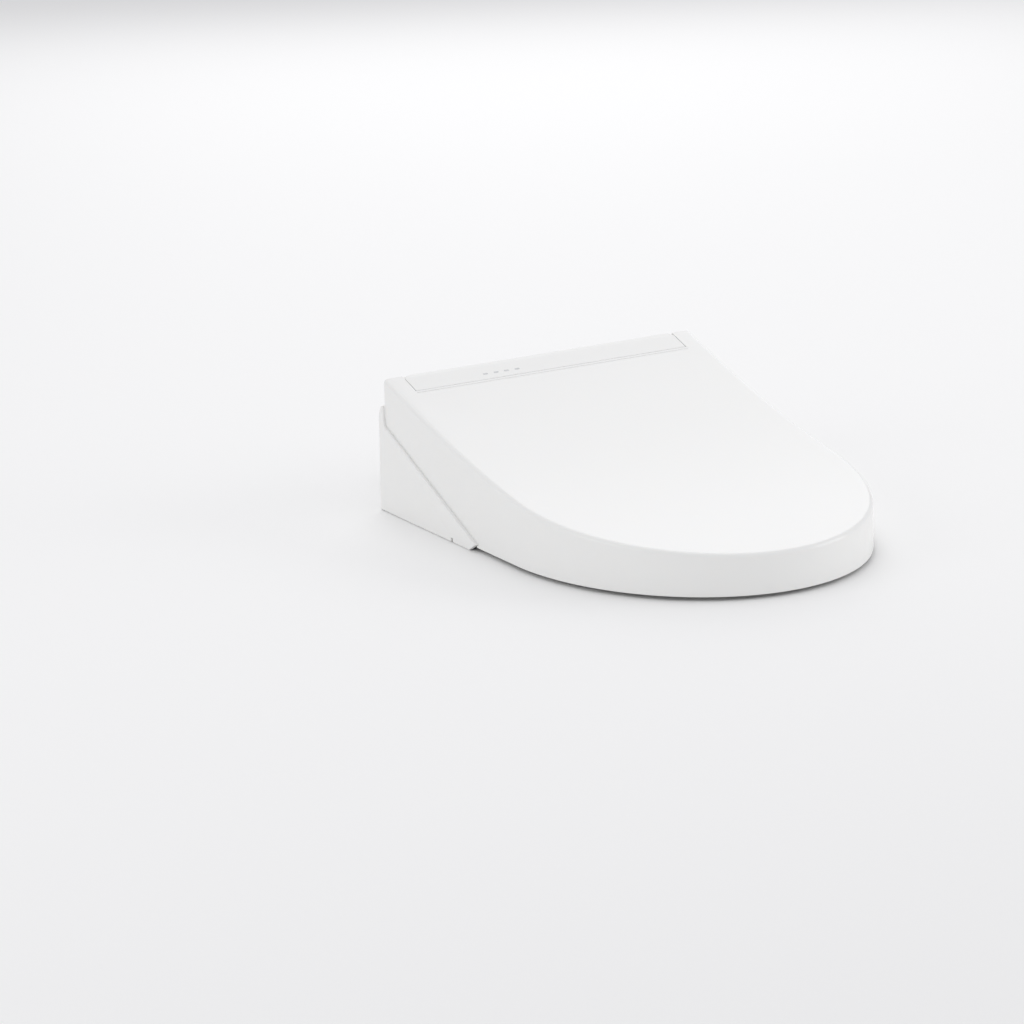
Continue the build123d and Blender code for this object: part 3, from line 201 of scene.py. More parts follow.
class Palette(Enum):
    """Every finish of the seat, each named for its material and how its surface was made."""

    # the lid, panel and covers come from one polished mould: deep gloss, hardly a ripple
    SHELL = Finish("polypropylene_gloss_moulded", "f2f2f0", 0.16, 1.49, mottle=0.03, soft=0.08)
    # the panel is moulded apart, in a slightly greyer batch with a finer satin
    PANEL = Finish("polypropylene_satin_moulded", "f0f0ee", 0.2, 1.49, mottle=0.03, soft=0.05)
    # the ring is a harder resin with a brighter polish
    SEAT = Finish("urea_resin_polished", "f3f3f1", 0.13, 1.55, mottle=0.02, soft=0.08)
    # the housing's own mould is finely etched, so its shine is broken
    CASE = Finish("abs_fine_etched", "e9e9e7", 0.34, 1.53, grain_mm=1.2, grain_depth_mm=0.02, mottle=0.04)
    # parts inside stay as they leave the mould
    INNER = Finish("polypropylene_natural_moulded", "cfcfca", 0.45, 1.49, grain_mm=1.5, grain_depth_mm=0.02)
    # the wand is polished so that it rinses clean
    WAND = Finish("abs_polished", "f0f2f4", 0.14, 1.53)
    # gears and slides are self-lubricating and waxy
    GEAR = Finish("acetal_machined", "ece8dc", 0.38, 1.48, soft=0.1)
    # light windows are dark until they are lit
    LENS = Finish("polycarbonate_smoked", "c6c8c9", 0.12, 1.58, coat=0.4)
    # bumpers and feet are soft and dull
    RUBBER = Finish("elastomer_moulded", "a9a9a6", 0.6, 1.52, grain_mm=0.8, grain_depth_mm=0.03)
    # pins and plates are stainless, drawn or rolled
    STEEL = Finish("stainless_steel_rolled", "c4c5c7", 0.28, 1.5, 1.0, mottle=0.05, mottle_mm=6.0)
    # motors, dampers and pump are dark filled nylon
    DARK = Finish("nylon_glass_filled_moulded", "2c2d30", 0.5, 1.53, grain_mm=1.0, grain_depth_mm=0.03)
    BRASS = Finish("brass_machined", "c9a557", 0.24, 1.5, 1.0, mottle=0.04, mottle_mm=5.0)
    FOIL = Finish("aluminium_foil_laminate", "d6d7da", 0.3, 1.5, 1.0, grain_mm=3.0, grain_depth_mm=0.15)
    BOARD = Finish("glass_epoxy_solder_masked", "1d5c3c", 0.3, 1.55, mottle=0.05, mottle_mm=4.0)
    CARBON = Finish("activated_carbon_pellets", "1d1d1e", 0.85, 1.5, grain_mm=1.6, grain_depth_mm=0.7)
    TUBE = Finish("silicone_extruded", "e4e4e0", 0.4, 1.42, soft=0.3)
    # the cord's vinyl is satin, with the faint drag marks of its die
    CORD = Finish(
        "pvc_extruded_grey", "9b9c9b", 0.42, 1.53,
        grain_mm=2.0, grain_depth_mm=0.03, mottle=0.05, mottle_mm=9.0,
    )
    HOSE = Finish("pvc_extruded_ivory", "e3dfd2", 0.36, 1.53, mottle=0.04, mottle_mm=8.0, soft=0.1)
    CHROME = Finish("brass_chrome_plated", "dfe1e4", 0.08, 1.5, 1.0)
    PLUG = Finish("pvc_moulded_grey", "b9bab8", 0.4, 1.53, grain_mm=1.0, grain_depth_mm=0.03)


class Wardrobe:
    """Makes each finish once and hands it out."""

    def __init__(self) -> None:
        """Starts with no material made."""
        self.made: dict[Palette, bpy.types.Material] = {}

    def get(self, finish: Palette) -> bpy.types.Material:
        """Returns the finish's material, made on first use."""
        if finish not in self.made:
            self.made[finish] = finish.value.make()
        return self.made[finish]

    def dress(self, piece: bpy.types.Object, finish: Palette) -> bpy.types.Object:
        """Gives a piece one finish all over.

        Args:
            piece: a mesh or a curve.
            finish: the finish it gets.

        Returns:
            The piece.
        """
        piece.data.materials.clear()
        piece.data.materials.append(self.get(finish))
        return piece


# Mesh helpers ------------------------------------------------------------------------------------------
Mesh = bmesh.types.BMesh
Vert = bmesh.types.BMVert


def sheet_from_chain(
    bm: Mesh, stations: int, levels: int, place: Callable[[int, int], Vector], closed: bool = False
) -> None:
    """Extrudes a chain of edges level by level into a sheet.

    Args:
        bm: the mesh that gets the sheet.
        stations: number of vertices along the chain.
        levels: number of positions that the chain takes.
        place: gives the position of a station at a level, in millimetres.
        closed: whether the chain is a loop.
    """
    number = bm.verts.layers.int.get("station") or bm.verts.layers.int.new("station")
    row = [bm.verts.new(place(i, 0) * MM) for i in range(stations)]
    for i, vert in enumerate(row):
        vert[number] = i
    edges = [bm.edges.new(pair) for pair in zip(row, row[1:])]
    if closed:
        edges.append(bm.edges.new((row[-1], row[0])))
    for level in range(1, levels):
        grown = bmesh.ops.extrude_edge_only(bm, edges=edges)["geom"]
        for vert in (g for g in grown if isinstance(g, Vert)):
            vert.co = place(vert[number], level) * MM
        new = {g for g in grown if isinstance(g, Vert)}
        edges = [g for g in grown if isinstance(g, bmesh.types.BMEdge) and set(g.verts) <= new]


def plate_from_outline(bm: Mesh, outline: Iterable[Vector], push: Vector) -> list[Vert]:
    """Extrudes a flat outline into a plate.

    Args:
        bm: the mesh that gets the plate.
        outline: corners in order, in millimetres.
        push: direction and thickness, in millimetres.

    Returns:
        The vertices of the far side.
    """
    face = bm.faces.new([bm.verts.new(point * MM) for point in outline])
    grown = bmesh.ops.extrude_face_region(bm, geom=[face])["geom"]
    far = [g for g in grown if isinstance(g, Vert)]
    bmesh.ops.translate(bm, verts=far, vec=push * MM)
    return far


def weld(bm: Mesh, distance_mm: float = 0.01) -> None:
    """Merges doubles and turns every face outwards."""
    bmesh.ops.remove_doubles(bm, verts=bm.verts, dist=distance_mm * MM)
    bmesh.ops.recalc_face_normals(bm, faces=bm.faces)


def face_up(bm: Mesh) -> None:
    """Turns an open skin's faces to the side that looks up on the whole."""
    bmesh.ops.recalc_face_normals(bm, faces=bm.faces)
    if sum(f.normal.z * f.calc_area() for f in bm.faces) < 0:
        bmesh.ops.reverse_faces(bm, faces=bm.faces)


def bevel_sharp(bm: Mesh, width_mm: float, segments: int = 3, angle: float = 35.0) -> None:
    """Rounds every edge that is sharper than an angle.

    Args:
        bm: the mesh.
        width_mm: the bevel's width.
        segments: facets across it.
        angle: edges under it, in degrees, stay.
    """
    edges = [e for e in bm.edges if e.is_manifold and e.calc_face_angle(0) > math.radians(angle)]
    bmesh.ops.bevel(
        bm,
        geom=edges,
        offset=width_mm * MM,
        offset_type="OFFSET",
        affect="EDGES",
        segments=segments,
        profile=0.5,
        material=-1,
        clamp_overlap=True,
        loop_slide=True,
    )


def finish_piece(name: str, bm: Mesh, smooth_angle: float = 32.0) -> bpy.types.Object:
    """Turns a bmesh into a piece with smooth faces and crisp edges.

    Args:
        name: the piece's name.
        bm: its mesh, which is freed.
        smooth_angle: edges over it, in degrees, stay crisp.

    Returns:
        The linked object.
    """
    data = bpy.data.meshes.new(name)
    bm.to_mesh(data)
    bm.free()
    data.shade_smooth()
    data.set_sharp_from_angle(angle=math.radians(smooth_angle))
    piece = bpy.data.objects.new(name, data)
    bpy.context.scene.collection.objects.link(piece)
    return piece


def wall(piece: bpy.types.Object, thickness_mm: float, edge_mm: float) -> None:
    """Gives a skin its wall and rounds the wall's rims.

    Args:
        piece: a skin whose faces point outwards.
        thickness_mm: the wall, grown inwards.
        edge_mm: width of the rounding on its rims.
    """
    solid = piece.modifiers.new("wall", "SOLIDIFY")
    solid.thickness = thickness_mm * MM
    solid.offset = -1.0
    solid.use_even_offset = True
    soften(piece, edge_mm)


def soften(piece: bpy.types.Object, edge_mm: float, segments: int = 3) -> None:
    """Rounds a piece's sharp edges with a live bevel."""
    bevel = piece.modifiers.new("rim", "BEVEL")
    bevel.width = edge_mm * MM
    bevel.segments = segments
    bevel.limit_method = "ANGLE"
    bevel.angle_limit = math.radians(40)
    bevel.harden_normals = True


# The lid's surface -------------------------------------------------------------------------------------
HALVINGS = 40


def bezier(values: tuple[float, ...], t: float) -> float:
    """One coordinate of a cubic Bezier curve.

    Args:
        values: that coordinate of the four control points.
        t: the place along the curve, 0 to 1.

    Returns:
        The coordinate at t.
    """
    u = 1 - t
    return u**3 * values[0] + 3 * u * u * t * values[1] + 3 * u * t * t * values[2] + t**3 * values[3]


@dataclass(frozen=True)
class Crown:
    """The surface that lid and panel share, a curve from the rear edge down to the nose."""

    half_width: float = 191.0
    rear_y: float = 68.0
    nose_start_y: float = -210.0
    nose_length: float = 238.0
    rear_z: float = 145.8
    nose_z: float = 46.7
    rear_slope: float = 0.335
    nose_slope: float = 0.083
    rear_reach: float = 230.0
    nose_reach: float = 172.0

    def height(self, y: float) -> float:
        """Finds the surface's height.

        Args:
            y: the place along the lid, in millimetres.

        Returns:
            The height there, from a Bezier curve whose handles lie along the slopes at both ends.
        """
        nose_y = self.nose_start_y - self.nose_length
        ys = (self.rear_y, self.rear_y - self.rear_reach, nose_y + self.nose_reach, nose_y)
        zs = (
            self.rear_z,
            self.rear_z - self.rear_reach * self.rear_slope,
            self.nose_z + self.nose_reach * self.nose_slope,
            self.nose_z,
        )
        low, high = -0.1, 1.1
        for _ in range(HALVINGS):
            middle = (low + high) / 2
            if bezier(ys, middle) > y:
                low = middle
            else:
                high = middle
        return bezier(zs, (low + high) / 2)

    def meets_circle(self, centre: tuple[float, float], radius: float) -> float:
        """Finds where the surface enters a circle about the hinge.

        Args:
            centre: the circle's y and z.
            radius: its radius.

        Returns:
            The y of the crossing in front of the centre.
        """
        low, high = centre[0] - radius, centre[0]
        for _ in range(HALVINGS):
            middle = (low + high) / 2
            inside = math.hypot(middle - centre[0], self.height(middle) - centre[1]) < radius
            low, high = (low, middle) if inside else (middle, high)
        return low


@dataclass
class Lid:
    """The lid: its shell and the ear walls that carry the pins."""

    wardrobe: Wardrobe
    crown: Crown = field(default_factory=Crown)
    wall_mm: float = 3.0
    bottom_z: float = 4.5
    crease: float = 4.5
    notch_half_width: float = 168.8
    notch_radius: float = 22.5
    hinge: tuple[float, float] = (58.0, 127.0)
    seam_corner: tuple[float, float] = (54.7, 88.0)
    seam_drop: float = 0.436
    seam_rear_z: float = 97.5
    tuck: float = 3.5
    lip_z: float = 134.0
    spine_share: float = 0.62
    lip_steps: int = 4
    lip_step_degrees: float = 4.0
    ear_wall: float = 4.0
    ear_depth: float = 38.0
    ear_stations: int = 8
    side_stations: int = 60
    nose_stations: int = 64

    def notch_y(self) -> float:
        """Where the lid's surface meets the notch's circle."""
        return self.crown.meets_circle(self.hinge, self.notch_radius)

    def station_rows(self) -> list[tuple[float, float]]:
        """Stations along half the outline.

        Returns:
            Pairs of y on the straight side and angle on the nose, from the rear edge to the tip.
        """
        front = self.notch_y()
        start = self.crown.nose_start_y
        ear, side, nose = self.ear_stations, self.side_stations, self.nose_stations
        beside = [self.crown.rear_y - (self.crown.rear_y - front) * i / ear for i in range(ear)]
        straight = [front - (front - start) * i / side for i in range(side)]
        turned = [(start, math.pi / 2 * i / nose) for i in range(nose + 1)]
        return [(y, 0.0) for y in beside + straight] + turned

    def outline(self, row: tuple[float, float], inset: float) -> Vector:
        """Point of the outline moved in by inset, on the left side."""
        y, angle = row
        across = (self.crown.half_width - inset) * math.cos(angle)
        along = (self.crown.nose_length - inset) * math.sin(angle)
        return Vector((-across, y - along, 0))

    def levels(self) -> list[tuple[str, float]]:
        """Levels from the skirt's lip over the crease to the spine.

        Returns:
            Pairs of a zone and a place in it: the share of the skirt still to climb, the angle round the
            crease, and the shares of the way across the ear and from the notch's side to the spine.
        """
        skirt = [("skirt", 1 - i / 10) for i in range(10)]
        arc = [("arc", math.pi / 2 * i / 8) for i in range(9)]
        ear = [("ear", i / 4) for i in range(1, 5)]
        top = [("top", i / 26) for i in range(1, 27)]
        return skirt + arc + ear + top

    def place(self, row: tuple[float, float], kind: str, value: float) -> Vector:
        """Position of a station at a level.

        Args:
            row: the station, as in station_rows().
            kind: the level's zone, as in levels().
            value: the level's place in it.

        Returns:
            The point, in millimetres.
        """
        if kind in ("skirt", "arc"):
            angle = 0.0 if kind == "skirt" else value
            inset = self.crease * (1 - math.cos(angle))
            point = self.outline(row, inset)
            fall = self.crease * (1 - math.sin(angle))
            top = self.crown.height(point.y) - fall
            point.z = top if kind == "arc" else top + (self.bottom_z - top) * value
            return point
        edge = self.outline(row, self.crease)
        share = self.notch_half_width / (self.crown.half_width - self.crease)
        reach = edge.x * share
        spine_y = row[0] - self.spine_share * self.crown.nose_length * math.sin(row[1])
        if kind == "ear":
            x = edge.x + (reach - edge.x) * value
        else:
            x = reach * (1 - value)
        if abs(edge.x) > 1e-6:
            along = 1 - x / edge.x
        elif kind == "ear":
            along = value * (1 - share)
        else:
            along = 1 - share + share * value
        y = edge.y + (spine_y - edge.y) * along
        return Vector((x, y, self.crown.height(y)))

    def shell(self) -> bpy.types.Object:
        """Builds the lid's shell."""
        rows, levels = self.station_rows(), self.levels()
        bm = bmesh.new()
        sheet_from_chain(bm, len(rows), len(levels), lambda i, k: self.place(rows[i], *levels[k]))
        bmesh.ops.mirror(bm, geom=bm.verts[:] + bm.edges[:] + bm.faces[:], axis="X", merge_dist=0.02 * MM)
        weld(bm)
        front = self.notch_y()
        middles = {f: f.calc_center_median() for f in bm.faces}
        half = self.notch_half_width * MM
        notch = [f for f, middle in middles.items() if abs(middle.x) < half and middle.y > front * MM]
        bmesh.ops.delete(bm, geom=notch, context="FACES")
        self.drop_notch_edge(bm, front)
        self.cut_seam(bm)
        face_up(bm)
        piece = finish_piece("lid_shell", bm, 40.0)
        wall(piece, self.wall_mm, 0.5)
        return piece

    def drop_notch_edge(self, bm: Mesh, front: float) -> None:
        """Turns the notch's front edge down along the hinge's circle.

        Args:
            bm: the shell's mesh.
            front: the edge's y, in millimetres.
        """
        half = self.notch_half_width * MM + 1e-6
        row = {v for v in bm.verts if abs(v.co.y - front * MM) < 0.05 * MM and abs(v.co.x) < half}
        edges = [e for e in bm.edges if e.is_boundary and set(e.verts) <= row]
        start = math.atan2(self.crown.height(front) - self.hinge[1], front - self.hinge[0])
        for step in range(1, self.lip_steps + 1):
            grown = bmesh.ops.extrude_edge_only(bm, edges=edges)["geom"]
            new = {g for g in grown if isinstance(g, Vert)}
            angle = start + math.radians(self.lip_step_degrees * step)
            for vert in new:
                vert.co.y = (self.hinge[0] + self.notch_radius * math.cos(angle)) * MM
                vert.co.z = (self.hinge[1] + self.notch_radius * math.sin(angle)) * MM
            edges = [g for g in grown if isinstance(g, bmesh.types.BMEdge) and set(g.verts) <= new]

    def cut_seam(self, bm: Mesh) -> None:
        """Ends the sides just behind the covers' edge: a long diagonal and a short rise at the rear."""
        corner = Vector((0, self.seam_corner[0], self.seam_corner[1] - self.tuck)) * MM
        rise = (self.seam_rear_z - self.seam_corner[1]) / (self.crown.rear_y - self.seam_corner[0])
        for slope in (self.seam_drop, rise):
            bmesh.ops.bisect_plane(
                bm,
                geom=bm.verts[:] + bm.edges[:] + bm.faces[:],
                dist=0.01 * MM,
                plane_co=corner,
                plane_no=Vector((0, slope, -1)),
                clear_outer=True,
            )

    def ears(self) -> bpy.types.Object:
        """Builds the two walls beside the panel that the hinge pins enter."""
        bm = bmesh.new()
        for side in (-1, 1):
            x = side * (self.notch_half_width + 0.8)
            rear, floor = self.crown.rear_y - 0.5, self.seam_rear_z + 0.5
            steps = [rear - self.ear_depth * i / 6 for i in range(7)]
            outline = [Vector((x, rear, floor)), *(Vector((x, y, self.crown.height(y) - 2.6)) for y in steps)]
            outline.append(Vector((x, steps[-1], floor)))
            plate_from_outline(bm, outline, Vector((side * self.ear_wall, 0, 0)))
            # a lip closes the ear behind the hinge and clears the seat's arm
            across = self.crown.half_width - self.wall_mm - self.notch_half_width - self.ear_wall
            lip = (
                (self.crown.rear_y - 0.4, self.lip_z),
                (self.crown.rear_y - 0.4, self.crown.height(self.crown.rear_y) - 2.8),
                (self.crown.rear_y - 3.0, self.crown.height(self.crown.rear_y - 3.0) - 2.8),
                (self.crown.rear_y - 3.0, self.lip_z),
            )
            plate_from_outline(
                bm, [Vector((x + side * 3.6, y, z)) for y, z in lip], Vector((side * across, 0, 0))
            )
        bmesh.ops.recalc_face_normals(bm, faces=bm.faces)
        bevel_sharp(bm, 0.6, 2)
        return finish_piece("lid_ears", bm)

    def build(self) -> list[bpy.types.Object]:
        """Builds and dresses the lid.

        Returns:
            Its pieces.
        """
        shell, ears = self.shell(), self.ears()
        for piece in (shell, ears):
            self.wardrobe.dress(piece, Palette.SHELL)
            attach(piece, "lid")
        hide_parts("lid")
        return [shell, ears]


@dataclass
class TopPanel:
    """The fixed panel between the lid's ears and its light windows."""

    wardrobe: Wardrobe
    crown: Crown = field(default_factory=Crown)
    half_width: float = 168.0
    radius: float = 21.7
    hinge: tuple[float, float] = (58.0, 127.0)
    rear_y: float = 69.4
    corner: float = 10.0
    thickness: float = 2.5
    flat_columns: int = 40
    lip_levels: int = 4
    lip_step_degrees: float = 5.0
    top_levels: int = 8
    lens_count: int = 4
    lens_start_x: float = -78.0
    lens_step: float = 13.0
    lens_y: float = 48.0
    lens_size: tuple[float, float] = (6.0, 2.8)

    def front_y(self) -> float:
        """Where the surface meets the panel's own circle."""
        return self.crown.meets_circle(self.hinge, self.radius)

    def columns(self) -> list[float]:
        """Places across the panel, close together at its rounded corners."""
        flat, steps = self.half_width - self.corner, self.flat_columns
        arc = [flat + self.corner * math.sin(math.pi / 2 * i / 8) for i in range(9)]
        between = [-flat + 2 * flat * i / steps for i in range(1, steps)]
        return [-x for x in reversed(arc)] + between + arc

    def place(self, x: float, level: int) -> Vector:
        """Position on the panel.

        Args:
            x: the place across it, in millimetres.
            level: the first few levels climb its front lip, the rest cross its top.

        Returns:
            The point, in millimetres.
        """
        front = self.front_y()
        if level < self.lip_levels:
            start = math.atan2(self.crown.height(front) - self.hinge[1], front - self.hinge[0])
            angle = start + math.radians(self.lip_step_degrees * (self.lip_levels - level))
            y = self.hinge[0] + self.radius * math.cos(angle)
            return Vector((x, y, self.hinge[1] + self.radius * math.sin(angle)))
        into = max(0.0, abs(x) - (self.half_width - self.corner))
        rear = self.rear_y - (self.corner - math.sqrt(max(0.0, self.corner**2 - into**2)))
        y = front + (rear - front) * (level - self.lip_levels) / self.top_levels
        return Vector((x, y, min(self.crown.height(y), self.crown.rear_z)))

    def plate(self) -> bpy.types.Object:
        """Builds the panel."""
        columns = self.columns()
        bm = bmesh.new()
        levels = self.lip_levels + self.top_levels + 1
        sheet_from_chain(bm, len(columns), levels, lambda i, k: self.place(columns[i], k))
        face_up(bm)
        piece = finish_piece("panel_plate", bm, 40.0)
        wall(piece, self.thickness, 0.35)
        return piece

    def windows(self) -> bpy.types.Object:
        """Builds the four light windows, a hair proud of the panel."""
        bm = bmesh.new()
        length, width = self.lens_size
        for n in range(self.lens_count):
            x = self.lens_start_x + self.lens_step * n
            z = self.crown.height(self.lens_y)
            fall = math.atan(self.crown.height(self.lens_y + 1) - z)
            turn = Matrix.Translation(Vector((x, self.lens_y, z)) * MM) @ Matrix.Rotation(fall, 4, "X")
            disc = bmesh.ops.create_circle(bm, cap_ends=True, segments=24, radius=width / 2 * MM)["verts"]
            for vert in disc:
                vert.co.x += math.copysign((length - width) / 2 * MM, vert.co.x)
            face = next(f for f in disc[0].link_faces)
            grown = bmesh.ops.extrude_face_region(bm, geom=[face])["geom"]
            top = [g for g in grown if isinstance(g, Vert)]
            bmesh.ops.translate(bm, verts=top, vec=Vector((0, 0, 0.12 * MM)))
            bmesh.ops.translate(bm, verts=disc, vec=Vector((0, 0, -0.8 * MM)))
            bmesh.ops.transform(bm, matrix=turn, verts=disc + top)
        bmesh.ops.recalc_face_normals(bm, faces=bm.faces)
        return finish_piece("light_windows", bm)

    def build(self) -> list[bpy.types.Object]:
        """Builds and dresses the panel.

        Returns:
            Its pieces.
        """
        plate, windows = self.plate(), self.windows()
        self.wardrobe.dress(plate, Palette.PANEL)
        self.wardrobe.dress(windows, Palette.LENS)
        for piece, node, slot in ((plate, "top_panel", "shell_white"), (windows, "indicator_lenses", "lens")):
            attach(piece, "housing")
            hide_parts(node)
        return [plate, windows]


@dataclass
class SideCovers:
    """The two covers beside the housing, proud of the lid's skirt and ending on the seam."""

    wardrobe: Wardrobe
    inner_x: float = 191.1
    bottom_x: float = 195.5
    top_x: float = 193.0
    top_z: float = 145.8
    foot_z: float = 0.5
    rear_y: float = 78.0
    corner: tuple[float, float] = (52.9, 88.7)
    seam_drop: float = 0.436
    tip_y: float = -131.0
    notch_y: float = -81.0

    def outline(self, side: int) -> list[tuple[float, float]]:
        """The cover's outline as (y, z), from the rear foot upwards and round to the front tip."""
        tip_z = self.corner[1] - self.seam_drop * (self.corner[0] - self.tip_y)
        points = [
            (self.rear_y, self.foot_z),
            (self.rear_y, 104.0),
            (self.rear_y - 1.6, 110.5),
            (self.rear_y - 4.6, 115.0),
            (self.rear_y - 9.6, 117.0),
            (self.rear_y - 10.4, 98.6),
            (self.rear_y - 12.4, 94.2),
            self.corner,
            (self.tip_y, tip_z),
            (self.tip_y + 13, self.foot_z),
        ]
        if side < 0:
            front, rear = self.notch_y - 2, self.notch_y + 2
            points += [(front, self.foot_z), (front, 4.8), (rear, 4.8), (rear, self.foot_z)]
        return points

    def cover(self, side: int) -> bpy.types.Object:
        """Builds one cover.

        Args:
            side: -1 for the left one, 1 for the right one.

        Returns:
            The piece.
        """
        bm = bmesh.new()
        outline = [Vector((side * self.inner_x, y, z)) for y, z in self.outline(side)]
        outer = plate_from_outline(bm, outline, Vector((side, 0, 0)))
        lean = (self.bottom_x - self.top_x) / self.top_z
        for vert in outer:
            vert.co.x = side * (self.bottom_x * MM - vert.co.z * lean)
        bmesh.ops.recalc_face_normals(bm, faces=bm.faces)
        rim = [
            e
            for e in bm.edges
            if all(v in set(outer) for v in e.verts) and e.calc_face_angle(0) > math.radians(30)
        ]
        bmesh.ops.bevel(
            bm, geom=rim, offset=0.9 * MM, offset_type="OFFSET", affect="EDGES", segments=4, profile=0.5,
            material=-1, clamp_overlap=True,
        )
        piece = finish_piece("left_cover" if side < 0 else "right_cover", bm, 30.0)
        return piece

    def build(self) -> list[bpy.types.Object]:
        """Builds and dresses both covers.

        Returns:
            Their pieces.
        """
        pieces = []
        for side, node in ((-1, "left_side_cover"), (1, "right_side_cover")):
            piece = self.wardrobe.dress(self.cover(side), Palette.SHELL)
            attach(piece, "housing")
            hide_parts(node)
            pieces.append(piece)
        return pieces


# Cord and hose -----------------------------------------------------------------------------------------
@dataclass
class FreeCord:
    """A free cord or hose: straight out, over the ground, round its put-away coil and on to its end."""

    name: str
    diameter: float
    start: list[tuple[float, float, float]]
    end: list[tuple[float, float, float]]
    coil_middle: tuple[float, float]
    coil_radii: list[float]
    coil_heights: list[float]
    first_angle: float
    turns: float
    clockwise: bool
    finish: Palette
    replaced: tuple[str, ...]
    material_slot: str
    points_per_turn: int = 14

    def coil(self) -> list[tuple[float, float, float]]:
        """The coil's control points, turn by turn."""
        count = round(self.turns * self.points_per_turn)
        way = -1 if self.clockwise else 1
        points = []
        for i in range(1, count):
            turn = i / self.points_per_turn
            spot = min(turn, len(self.coil_radii) - 1.001)
            index, share = int(spot), spot - int(spot)
            radius = self.coil_radii[index] * (1 - share) + self.coil_radii[index + 1] * share
            height = self.coil_heights[index] * (1 - share) + self.coil_heights[index + 1] * share
            angle = math.radians(self.first_angle) + way * 2 * math.pi * turn
            x = self.coil_middle[0] + radius * math.cos(angle)
            y = self.coil_middle[1] + radius * math.sin(angle)
            points.append((x, y, height))
        return points

    def build(self, wardrobe: Wardrobe) -> bpy.types.Object:
        """Builds the cord as one smooth curve.

        Args:
            wardrobe: gives its finish.

        Returns:
            The curve piece.
        """
        points = [*self.start, *self.coil(), *self.end]
        curve = bpy.data.curves.new(self.name, "CURVE")
        curve.dimensions = "3D"
        curve.bevel_depth = self.diameter / 2 * MM
        curve.bevel_resolution = 6
        curve.resolution_u = 10
        curve.use_fill_caps = True
        spline = curve.splines.new("NURBS")
        spline.points.add(len(points) - 1)
        for point, place in zip(spline.points, points):
            point.co = (*(Vector(place) * MM), 1.0)
        spline.order_u = 3
        spline.use_endpoint_u = True
        piece = bpy.data.objects.new(self.name, curve)
        bpy.context.scene.collection.objects.link(piece)
        wardrobe.dress(piece, self.finish)
        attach(piece, "housing")
        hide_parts(*self.replaced)
        return piece


POWER_CORD = FreeCord(
    name="mains_cord",
    diameter=6.5,
    start=[
        (-148, 106, 14), (-147.6, 118.5, 12), (-145, 130.5, 6.8), (-139.6, 141.5, 3.35), (-136, 153, 3.35),
    ],
    end=[(-98, 191.2, 9.8), (-84, 190.6, 9.6), (-70, 192.4, 10.8), (-56, 195.2, 11.8), (-42, 196, 12)],
    coil_middle=(-98.0, 150.0),
    coil_radii=[38.2, 34.6, 41.2, 34.8, 41.0, 41.0],
    coil_heights=[3.35, 3.35, 3.6, 9.7, 9.8, 9.8],
    first_angle=176.0,
    turns=4.25,
    clockwise=True,
    finish=Palette.CORD,
    replaced=("power_cord", "cord_coil", "cord_tail"),
    material_slot="cord_grey",
)
SUPPLY_HOSE = FreeCord(
    name="water_hose",
    diameter=9.5,
    start=[
        (-92, 92, 20), (-74, 92, 19.2), (-56, 92.8, 14), (-37, 94.6, 8.4), (-15, 95.6, 5.2), (10, 96.4, 4.85),
        (36, 97.8, 4.85), (63, 96.8, 4.85), (88, 97.2, 4.85), (104, 98, 4.85),
    ],
    end=[(104, 98, 14.2), (121, 98.6, 14), (138, 97.2, 13), (154, 97.6, 12.2)],
    coil_middle=(104.0, 150.0),
    coil_radii=[52.0, 52.0, 52.0],
    coil_heights=[4.85, 9.5, 14.2],
    first_angle=270.0,
    turns=2.0,
    clockwise=False,
    finish=Palette.HOSE,
    replaced=("supply_hose", "hose_coil", "hose_tail"),
    material_slot="hose_white",
)


# CAD nodes with softened edges -------------------------------------------------------------------------
@dataclass(frozen=True)
class Softened:
    """One node's copy with rounded edges: its finish, the body it moves with and its edges' width."""

    node: str
    finish: Palette
    body: str
    material_slot: str
    edge: float

    def build(self, nodes: dict[str, bpy.types.Object], wardrobe: Wardrobe) -> bpy.types.Object:
        """Copies the node, merges its facets and rounds its edges.

        Args:
            nodes: the frame's nodes by name.
            wardrobe: gives its finish.

        Returns:
            The piece that stands for the node.
        """
        bm = bmesh.new()
        bm.from_mesh(nodes[self.node].data)
        weld(bm, 0.005)
        bmesh.ops.dissolve_limit(bm, angle_limit=math.radians(0.4), verts=bm.verts, edges=bm.edges)
        piece = finish_piece(f"{self.node}_rounded", bm, 34.0)
        soften(piece, self.edge, 2)
        wardrobe.dress(piece, self.finish)
        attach(piece, self.body)
        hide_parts(self.node)
        return piece


